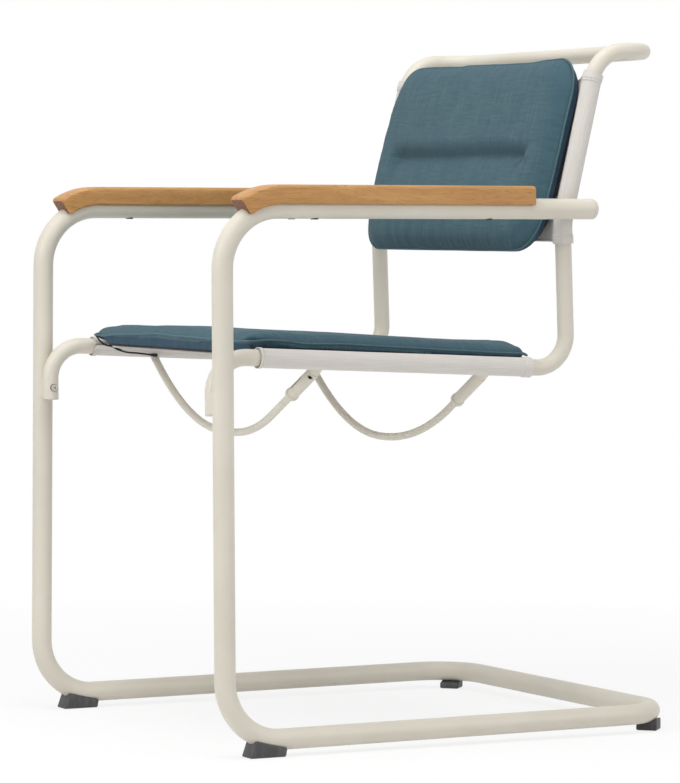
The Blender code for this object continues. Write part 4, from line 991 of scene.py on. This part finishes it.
def make_sling(name, node, low, high, axis, hems, web_ends):
    """A flat cloth wrapped round both tubes: its two sides turn over the tubes and come back under the web.

    axis is the one along which the cloth's ends, low and high, are given. hems gives the width of the sewn band at each
    end, and web_ends how far the web falls short of its sleeves there."""
    hem_r, hem_out = 1.45 * MM, 1.2
    setback_first, setback_last = 45.0 * MM, 26.0 * MM
    section = half_section()
    runs = run_lengths(section)
    rows, length = tube_stations(low, high, axis, 100 if axis == 1 else 70,
                                 [hems[0], hems[0] - stitch_in, -hems[1], stitch_in - hems[1]])
    columns = [(-x, h, -r) for (x, h), r in zip(section[::-1], runs[::-1])][:-1] + [
        (x, h, r) for (x, h), r in zip(section, runs)]
    deselect()
    bpy.ops.mesh.primitive_grid_add(x_subdivisions=len(columns) - 1, y_subdivisions=len(rows) - 1, size=1.0)
    cloth = bpy.context.object
    web_edge = runs[next(k for k, (x, h) in enumerate(section) if x > seat_half - 14.0)]
    laid = [None] * len(cloth.data.vertices)

    def band(place):
        """Extra thickness of the sewn bands, less the groove of their stitches, in millimetres."""
        band_rise, stitch_sink = 0.95, 0.55
        over = 0.0
        for width, far in zip(hems, (place / MM, (length - place) / MM)):
            over = max(over, band_rise * min(1.0, max(0.0, (width - far) / 0.6 + 0.5)))
            over -= stitch_sink * max(0.0, 1.0 - abs(far - width + stitch_in) / 0.5)
        return over

    def full(x):
        """How much of an end's setback the web has: none at the sleeves, all of it 29 mm in from the tubes' axes."""
        reach = min(1.0, max(0.0, (seat_half - 3.0 - abs(x)) / 26.0))
        return reach * reach * (3.0 - 2.0 * reach)

    creasing = 0.16
    for v in cloth.data.vertices:
        i = round((v.co.x + 0.5) * (len(columns) - 1))
        j = round((v.co.y + 0.5) * (len(rows) - 1))
        x, height, run = columns[i]
        centre, way, place = rows[j]
        normal = above(way)
        on_web = abs(run) < web_edge or abs(run) > runs[-1] - 12.0
        reach = full(x) if on_web else 0.0
        shift = web_ends[0] * reach * max(0.0, 1.0 - place / setback_first) - web_ends[1] * reach * max(
            0.0, 1.0 - (length - place) / setback_last)
        if abs(run) >= web_edge and abs(run) < runs[-1] - 24.0:
            around = math.atan2(height, abs(x) - seat_half)
            crease = creasing * noise.noise(Vector((around * 7.0, place * 14.0, float(axis) + x)))
            radius = cloth_mid_r + band(place) + crease
            x = math.copysign(seat_half + radius * math.cos(around), x)
            height = radius * math.sin(around)
        v.co = Vector((x * MM, centre.y, centre.z)) + normal * height * MM + way * shift * MM
        laid[v.index] = (run * MM, place + shift * MM)
    weave = cloth.data.uv_layers.new(name="weave")
    for loop in cloth.data.loops:
        weave.data[loop.index].uv = laid[loop.vertex_index]
    for layer in [u for u in cloth.data.uv_layers if u.name != "weave"]:
        cloth.data.uv_layers.remove(layer)
    thick = cloth.modifiers.new("cloth", 'SOLIDIFY')
    thick.thickness = cloth_thick
    thick.offset = 0.0
    apply_all(cloth)
    hand_over(cloth, name, sling_cloth, "mesh_cloth", node, smooth=60.0)
    for label, (centre, way, place), gap in (("first", rows[0], web_ends[0]), ("last", rows[-1], -web_ends[1])):
        normal = above(way)
        inward = hem_out if label == "first" else -hem_out
        xs = [seat_half - 12.5 - 2.2 * k for k in range(14)]
        xs += [xs[-1] * (1.0 - k / 12.0) for k in range(1, 13)]
        xs = sorted([-x for x in xs[:-1]] + xs)
        line = [Vector((x * MM, centre.y, centre.z)) + normal * web_height(abs(x)) * MM
                + way * (gap * full(x) + inward) * MM for x in xs]
        roll = drawn_bar(line, hem_r, sides=12)
        hand_over(roll, name + "_hem_" + label, sling_hem, "mesh_cloth", smooth=60.0)


# Cushions

def between(line, s):
    """Height at a place of a smooth line through (place, height) points, level beyond its ends."""
    for (a, low), (b, high) in zip(line[:-1], line[1:]):
        if s <= b:
            t = min(1.0, max(0.0, (s - a) / (b - a)))
            return low + (high - low) * t * t * (3.0 - 2.0 * t)
    return line[-1][1]


def corner_plan(x, y, half_u, half_v, corners):
    """Distance inside the outline of a rounded plan, in metres. corners gives its radii at the low and high ends."""
    corner_r = corners[1] if y > 0.0 else corners[0]
    cx, cy = abs(x) - (half_u - corner_r), abs(y) - (half_v - corner_r)
    if cx > 0.0 and cy > 0.0:
        return corner_r - math.hypot(cx, cy)
    return min(half_u - abs(x), half_v - abs(y))


def stuffed(half_u, half_v, corners, boxing, crown, soft, belly, swell, draw, tucks, falls, lift, seed):
    """A boxed cushion about a seam plane at z = 0: blocked out, remeshed, blown up as cloth held at its seams.

    crown and belly are the rises of the face and the back, soft is the distance from the seam in which they gain most
    of it, and swell limits what the stuffing may move. draw narrows the back edge, tucks rounds its corners further at
    the low and high ends, and falls flattens the face towards them along the sides. lift gives the seam's height."""
    voxel, moments, pucker_pitch = 0.005, 20, 0.013
    pad = block((half_u * 2.0, half_v * 2.0, boxing), (0.0, 0.0, -boxing / 2.0))
    open_edit(pad)
    for end, corner_r in zip((-1.0, 1.0), corners):
        pick('EDGE', lambda a, b: abs(a.x - b.x) < 1e-6 and abs(a.y - b.y) < 1e-6 and a.y * end > 0.0
             and abs(abs(a.x) - half_u) < 1e-5 and abs(abs(a.y) - half_v) < 1e-5)
        bevel(corner_r, 12)
    close_edit()
    only(pad)
    pad.data.remesh_voxel_size = voxel
    bpy.ops.object.voxel_remesh()
    held = pad.vertex_groups.new(name="seams")
    for v in pad.data.vertices:
        inside = max(0.0, corner_plan(v.co.x, v.co.y, half_u, half_v, corners))
        at_seam = min(abs(v.co.z), abs(v.co.z + boxing)) < 0.55 * voxel and inside < 0.8 * voxel
        held.add([v.index], 1.0 if at_seam else 0.0, 'REPLACE')
    start = [v.co.copy() for v in pad.data.vertices]
    cloth = pad.modifiers.new("stuffing", 'CLOTH')
    for key, value in {"quality": 5, "mass": 0.3, "tension_stiffness": 20.0, "compression_stiffness": 20.0,
                       "shear_stiffness": 8.0, "bending_stiffness": 1.5, "use_pressure": True,
                       "uniform_pressure_force": 3.0, "shrink_min": -0.006, "vertex_group_mass": "seams"}.items():
        setattr(cloth.settings, key, value)
    cloth.settings.effector_weights.gravity = 0.0
    cloth.collision_settings.use_collision = False
    cloth.point_cache.frame_start = 1
    cloth.point_cache.frame_end = moments
    for moment in range(1, moments + 1):
        bpy.context.scene.frame_set(moment)
    apply_all(pad)
    bpy.context.scene.frame_set(1)
    for v, was in zip(pad.data.vertices, start):
        move = v.co - was
        if move.length > swell:
            v.co = was + move.normalized() * swell
    pad.vertex_groups.clear()
    finer = pad.modifiers.new("finer", 'SUBSURF')
    finer.levels = 1
    finer.render_levels = 1
    apply_all(pad)
    for v in pad.data.vertices:
        x, y = v.co.x, v.co.y
        inside = corner_plan(x, y, half_u, half_v, corners)
        within = max(0.0, inside)
        deep = min(1.0, max(0.0, -v.co.z / boxing))
        top = v.co.z > -boxing * 0.35
        rise = 1.0 - math.exp(-within / soft)
        middle = max(0.0, 1.0 - (x / half_u) ** 2) * max(0.0, 1.0 - (y / half_v) ** 2)
        fall = (falls[1] if y > 0.0 else falls[0]) * (y / half_v) ** 2 * math.exp(-max(0.0, half_u - abs(x)) / 0.03)
        share = min(1.0, max(-1.0, 1.0 + v.co.z / (boxing * 0.5)))
        if share > 0.0:
            v.co.z += (crown * rise * max(0.0, 1.0 - fall) + 0.12 * crown * middle) * share
        else:
            v.co.z += belly * rise * share
        lump = noise.noise(Vector((x * 11.0 + seed, y * 11.0, seed)))
        fine = noise.noise(Vector((x * 40.0 + seed, y * 40.0, 5.0 + seed)))
        if top and inside > 0.0:
            v.co.z += (lump * 1.3 + fine * 0.35) * MM * min(1.0, inside / 0.03)
        # short puckers gathered along the seam
        run = y if half_u - abs(x) < half_v - abs(y) else x
        wave = math.sin(run * 2.0 * math.pi / pucker_pitch + 6.0 * noise.noise(Vector((run * 30.0, seed, x * 3.0))))
        near = math.exp(-((inside - 0.006) / 0.007) ** 2) if inside > 0.0 else 0.2
        strength = max(0.0, 0.45 + 0.9 * noise.noise(Vector((run * 14.0, 3.0 + seed, x * 2.0))))
        v.co.z += wave * near * strength * 0.6 * MM * (1.0 if top else 0.2)
        corner_r = corners[1] if y > 0.0 else corners[0]
        round_r = corner_r + (tucks[1] if y > 0.0 else tucks[0]) * math.sqrt(deep)
        cx, cy = abs(x) - (half_u - round_r), abs(y) - (half_v - round_r)
        if deep > 0.0 and cx > 0.0 and cy > 0.0 and round_r > inside:
            shrink = min(1.0, (round_r - inside) / math.hypot(cx, cy))
            v.co.x = math.copysign(half_u - round_r + cx * shrink, x)
            v.co.y = math.copysign(half_v - round_r + cy * shrink, y)
        v.co.x *= 1.0 - draw / half_u * deep
        v.co.y *= 1.0 - draw / half_v * deep
        v.co += lift(x, y)
    return pad


def cover(pad, place, name, top, boxing):
    """Covers a cushion, giving the strip below the seam a copy of its cloth darkened as painted shade, and moves it to
    its place.
    """
    put_down(pad, name, top, boxing)
    refinish(pad, 1, lambda p, n: p.z < -1.2 * MM)
    return move_to(pad, place)


def seam_ring(half_u, half_v, corners, ears, step=0.006):
    """Points round a rounded plan, its corners drawn out a little into ears."""
    points = []
    for quarter, (sx, sy) in enumerate(((1, 1), (-1, 1), (-1, -1), (1, -1))):
        corner_r, ear = (corners[1], ears[1]) if sy > 0 else (corners[0], ears[0])
        cx, cy = half_u - corner_r, half_v - corner_r
        for k in range(13):
            a = math.pi / 2.0 * (quarter + k / 12.0)
            out = ear * math.sin(math.pi * k / 12.0) ** 3
            points.append((sx * cx + (corner_r + out) * math.cos(a), sy * cy + (corner_r + out) * math.sin(a)))
    ring = []
    for a, b in zip(points, points[1:] + points[:1]):
        count = max(1, int(math.hypot(b[0] - a[0], b[1] - a[1]) / step))
        ring += [(a[0] + (b[0] - a[0]) * j / count, a[1] + (b[1] - a[1]) * j / count) for j in range(count)]
    return ring


# The seams wander: (place, height) along each edge of the cushions, in millimetres
seat_front_seam = ((-221, -1.2), (-188, -1.8), (-143, 1.4), (-102, 2.5), (-40, 4.8), (36, 3.6), (118, 2.6), (221, 2.6))
seat_right_seam = ((-190, 2.6), (-163, 5.4), (-143, 5.0), (-117, 3.1), (-63, 4.4), (86, 2.6), (156, 2.4), (178, 2.6),
                   (190, 0.4))
seat_left_seam = ((-190, -1.2), (-182, 0.6), (-166, 3.6), (-140, 3.2), (-60, 2.5), (90, 2.5), (187, 0.2))
seat_rear_seam = ((-221, 0.2), (-150, 3.2), (0, 3.6), (110, 3.4), (158, 6.0), (190, 6.5), (208, 3.0), (221, 0.2))
back_top_seam = ((-220, 0.5), (-153, 1.2), (-110, 0.4), (-75, -0.8), (-49, 0.6), (0, -0.2), (53, -1.1), (102, -1.1),
                 (150, 1.1), (198, 2.4))


def seat_lift(half_u, half_v):
    def lift(x, y):
        sides = ((half_v + y, between(seat_front_seam, x / MM)), (half_u - x, between(seat_right_seam, y / MM)),
                 (half_u + x, between(seat_left_seam, y / MM)), (half_v - y, between(seat_rear_seam, x / MM)))
        weights = [1.0 / (max(0.0, gap) + 4.0 * MM) ** 2 for gap, _ in sides]
        return Vector((0.0, 0.0, sum(w * h for w, (_, h) in zip(weights, sides)) / sum(weights) * MM))
    return lift


def back_lift(half_u, half_v):
    def lift(x, y):
        bow = -1.5 * max(0.0, 1.0 - (y / half_v) ** 2) * min(1.0, abs(x) / half_u) ** 4
        brim = between(back_top_seam, x / MM) * max(0.0, y / half_v) ** 8
        return Vector((0.0, brim * MM, bow * MM))
    return lift


def piping(ring, lift, place, name, wobble):
    """A thin cord that follows a cushion's seam."""
    line = [place @ (Vector((x, y, wobble * noise.noise(Vector((x * 20.0, y * 20.0, 2.0))))) + lift(x, y))
            for x, y in ring]
    cord = drawn_bar(line, 1.3 * MM, closed=True, sides=10)
    hand_over(cord, name, piping_weave, "teal_weave", smooth=60.0)


def over_sleeve(x, radius):
    """Height over the tubes' axes at which a cushion clears the cloth's sleeve, in millimetres."""
    return math.sqrt(max(0.0, radius ** 2 - (abs(x) - seat_half) ** 2))


def make_seat_cushion():
    half_v = (seat_pad_rear - seat_pad_front).length / 2.0
    seam_out = 0.6 * MM
    half_u, corners = 221.0 * MM, (15.0 * MM, 15.0 * MM)
    place = Matrix.Translation((seat_pad_front + seat_pad_rear) / 2.0) @ Matrix.Rotation(seat_lean, 4, 'X')
    lift = seat_lift(half_u, half_v)
    pad = stuffed(half_u + seam_out, half_v + seam_out, corners, boxing=17.5 * MM, crown=9.0 * MM, soft=5.5 * MM,
                  belly=1.0 * MM, swell=2.5 * MM, draw=3.0 * MM, tucks=(65.0 * MM, 10.0 * MM), falls=(0.0, 0.0),
                  lift=lift, seed=1.7)
    cover(pad, place, "seat_pad", seat_weave, seat_boxing_painted_shade)
    for v in pad.data.vertices:
        x, y = v.co.x / MM, v.co.y / MM + UPRIGHT_Y
        lowest = (rail_z(y) + web_height(abs(x)) + web_clear) * MM
        if abs(x) > seat_half - 8.0:
            lowest = max(lowest, (rail_z(y) + over_sleeve(x, 12.2)) * MM)
        if v.co.z < lowest:
            v.co.z = lowest
    shade(pad, 180.0)
    finish_piece(pad, "teal_weave", "seat_cushion")
    piping(seam_ring(half_u, half_v, corners, (3.4 * MM, 4.5 * MM)), lift, place, "seat_pad_piping", 0.5 * MM)


def make_back_cushion():
    half_v = (back_pad_high - back_pad_low).length / 2.0
    seam_out = 0.6 * MM
    half_u, corners = 221.5 * MM, (50.0 * MM, 46.0 * MM)
    place = Matrix.Translation((back_pad_low + back_pad_high) / 2.0) @ Matrix.Rotation(back_lean, 4, 'X')
    lift = back_lift(half_u, half_v)
    pad = stuffed(half_u + seam_out, half_v + seam_out, corners, boxing=13.0 * MM, crown=15.0 * MM, soft=11.0 * MM,
                  belly=3.0 * MM, swell=2.5 * MM, draw=2.5 * MM, tucks=(10.0 * MM, 10.0 * MM), falls=(1.2, 0.8),
                  lift=lift, seed=4.1)
    # The channel sewn across the face: its two ends and its height in the plan
    left_end, right_end, channel_y, depth = -150.0 * MM, 162.0 * MM, -3.0 * MM, 9.5
    for v in pad.data.vertices:
        x, y = v.co.x, v.co.y
        if v.co.z > -2.0 * MM:
            past = left_end - x if x < left_end else (x - right_end if x > right_end else 0.0)
            ends = math.exp(-(past / (0.016 if x < 0.0 else 0.008)) ** 2)
            d = y - channel_y + 1.6 * MM * math.sin((x + 0.10) * 13.0) * math.exp(-((x + 0.12) / 0.09) ** 2)
            if d > 0.0:
                sink = depth * math.exp(-(d / 0.0085) ** 1.5) - 1.6 * math.exp(-((d - 0.021) / 0.013) ** 2)
            else:
                sink = depth * math.exp(-(-d / 0.019) ** 1.1)
            v.co.z -= sink * MM * ends
            for end, side in ((left_end, -1.0), (right_end, 1.0)):
                r = math.hypot(x - end, d)
                if 1e-6 < r < 0.06:
                    a = math.atan2(d, (x - end) * side)
                    creases = 1.1 * MM * math.cos(a * 5.0 + 0.6) if side > 0.0 else 0.5 * MM * math.cos(a * 3.0)
                    v.co.z += creases * math.exp(-((r - 0.014) / 0.013) ** 2)
        # soft folds that hang down over the lower edge
        if v.co.z > 0.0 and y < -0.045:
            fold = math.sin(x * 2.0 * math.pi / 0.031 + 4.0 * noise.noise(Vector((x * 9.0, 1.0, 0.0))))
            share = max(0.0, noise.noise(Vector((x * 6.0 + 3.0, 2.0, 8.0))) + 0.25)
            v.co.z += fold * share * 1.3 * MM * min(1.0, (-y - 0.045) / 0.03)
    cover(pad, place, "back_pad", back_weave, back_boxing_painted_shade)
    axis_low, axis_high = seat_corners[3], seat_corners[4]
    way = (axis_high - axis_low).normalized()
    normal = above(way)
    for v in pad.data.vertices:
        x = abs(v.co.x) / MM
        height = (v.co - axis_low).dot(normal)
        lowest = web_height(x) + web_clear
        if x > seat_half - 8.0:
            lowest = max(lowest, over_sleeve(x, 12.9))
        if height < lowest * MM:
            v.co += normal * (lowest * MM - height)
    shade(pad, 180.0)
    finish_piece(pad, "teal_weave", "back_cushion")
    piping(seam_ring(half_u, half_v, corners, (0.5 * MM, 2.0 * MM)), lift, place, "back_pad_piping", 0.8 * MM)


def curve_through(points, parts=6):
    """A smooth line through points."""
    line = []
    padded = [points[0] * 2.0 - points[1]] + points + [points[-1] * 2.0 - points[-2]]
    for k in range(1, len(padded) - 2):
        a, b, c, d = padded[k - 1:k + 3]
        for j in range(parts):
            t = j / parts
            line.append(0.5 * (2.0 * b + (c - a) * t + (2.0 * a - 5.0 * b + 4.0 * c - d) * t * t
                               + (3.0 * b - 3.0 * c + d - a) * t ** 3))
    return line + [points[-1]]


def make_straps():
    """A loop of thin covered elastic from each front corner of the seat cushion to the front strut's bracket there."""
    lower = [(219.0, 54.0, 478.3), (216.0, 57.4, 472.2), (213.5, 61.0, 468.3), (211.0, 64.4, 466.2),
             (211.0, 70.4, 464.9), (212.0, 75.4, 463.2), (214.0, 80.9, 460.6), (215.0, 87.5, 458.5),
             (215.0, 96.4, 456.3), (214.5, 111.0, 455.0), (214.0, 125.8, 453.2), (213.5, 137.0, 452.2)]
    upper = [(219.0, 56.1, 478.0), (216.0, 59.6, 475.6), (213.5, 64.5, 473.4), (212.0, 68.0, 470.4),
             (211.5, 71.5, 466.9), (212.0, 75.6, 463.9), (213.5, 81.5, 461.0), (214.5, 87.0, 459.3)]
    knot = [1.0, 1.1, 1.3, 1.6, 1.8, 1.9, 1.9, 1.7]
    for side, label in ((LEFT, "left"), (RIGHT, "right")):
        line, second = [curve_through([at(x * side, y, z) for x, y, z in points]) for points in (lower, upper)]
        strap = drawn_bar(line, 1.15 * MM, sides=10, radii=[1.0] * (len(line) - len(knot)) + knot)
        strand = drawn_bar(second, 1.3 * MM, sides=10)
        only(strap)
        strand.select_set(True)
        bpy.ops.object.join()
        hand_over(strap, "elastic_strap_" + label, elastic_finish, "black_elastic", "cushion_strap_" + label,
                  smooth=60.0)


# Floor, light and camera

def make_floor():
    """A pale plane with the chair's shadow, which the camera sees fade into plain white 1.7 m out."""
    deselect()
    bpy.ops.mesh.primitive_plane_add(size=14.0, location=(0.0, 0.0, -0.0005))
    floor = bpy.context.object
    settle()
    floor.name = "floor"
    made = Finish("pale floor", None, 0.9, Base_Color=(0.95, 0.95, 0.95, 1.0), Specular_IOR_Level=0.0)
    away = made.put('VectorMath', {"operation": 'LENGTH'}, s0=made.place).outputs["Value"]
    share = made.sums('MULTIPLY', made.seen(), made.levels(away, 0.7, 1.7, 0.80, 1.0))
    glow = made.put('Emission', None, Color=(1.0, 1.0, 1.0, 1.0), Strength=1.0)
    mix = made.put('MixShader', None, s0=share, s1=made.shader.outputs[0], s2=glow.outputs[0])
    made.feed(made.tree.nodes["Material Output"].inputs[0], mix.outputs[0])
    floor.data.materials.append(made.mat)


def make_light():
    """A white world that lights the chair at a third of the strength at which it is seen, and three soft lamps."""
    world = bpy.data.worlds.new("soft studio")
    bpy.context.scene.world = world
    world.use_nodes = True
    made = Nodes(world.node_tree)
    sky = made.tree.nodes["Background"].inputs
    sky["Color"].default_value = (1.0, 1.0, 1.0, 1.0)
    made.feed(sky["Strength"], made.sums('MULTIPLY_ADD', made.seen(), 0.67, 0.33))
    for name, place, aim, size, watts in (
            ("left", (0.7, -2.8, 1.6), (0.0, 0.0, 0.5), 1.5, 29.0),
            ("right", (2.6, 1.9, 1.5), (0.0, 0.1, 0.5), 1.5, 19.0),
            ("top", (0.5, -0.5, 3.0), (0.0, 0.0, 0.4), 2.4, 57.0)):
        lamp = bpy.data.lights.new(name, 'AREA')
        lamp.shape = 'SQUARE'
        lamp.size = size
        lamp.energy = watts
        holder = bpy.data.objects.new(name, lamp)
        holder.location = place
        holder.rotation_euler = (Vector(aim) - Vector(place)).to_track_quat('-Z', 'Y').to_euler()
        bpy.context.scene.collection.objects.link(holder)
    bpy.context.scene.view_settings.view_transform = 'Standard'


def make_camera():
    lens = bpy.data.cameras.new("camera")
    lens.lens = 184.55
    lens.sensor_width = 36.0
    holder = bpy.data.objects.new("camera", lens)
    holder.location = (4.42347, -2.34997, 0.62262)
    holder.rotation_euler = tuple(math.radians(a) for a in (87.5872, -0.2488, 62.1804))
    bpy.context.scene.collection.objects.link(holder)
    bpy.context.scene.camera = holder


# Build

make_tubes()
make_caps()
make_arm_rest()
make_screws()
make_feet()
make_strut("front", y=139.0, far_drop=14.47, low_x=-20.0, low_drop=95.97, sleeve_drop=44.37, near_drop=15.47,
           bend_r=225.0 * MM, facing_turn=50.0)
make_strut("rear", y=366.0, far_drop=20.3, low_x=-30.0, low_drop=98.0, sleeve_drop=45.1, near_drop=14.0,
           bend_r=340.0 * MM, facing_turn=230.0)
make_sling("seat_sling", "seat_fabric", at(0, 54.8, 0).y, at(0, 424.5, 0).y, axis=1, hems=(4.5, 10.0),
           web_ends=(20.0, 2.5))
make_sling("back_sling", "back_fabric", 598.0 * MM, 806.0 * MM, axis=2, hems=(10.5, 10.5), web_ends=(2.5, 9.0))
make_seat_cushion()
make_back_cushion()
make_straps()
# The saddle washers stay the solids that they are, in the frame's paint
for node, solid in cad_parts.items():
    if "spacer" in node:
        solid.data.materials.clear()
        solid.data.materials.append(paint)
make_floor()
make_light()
make_camera()
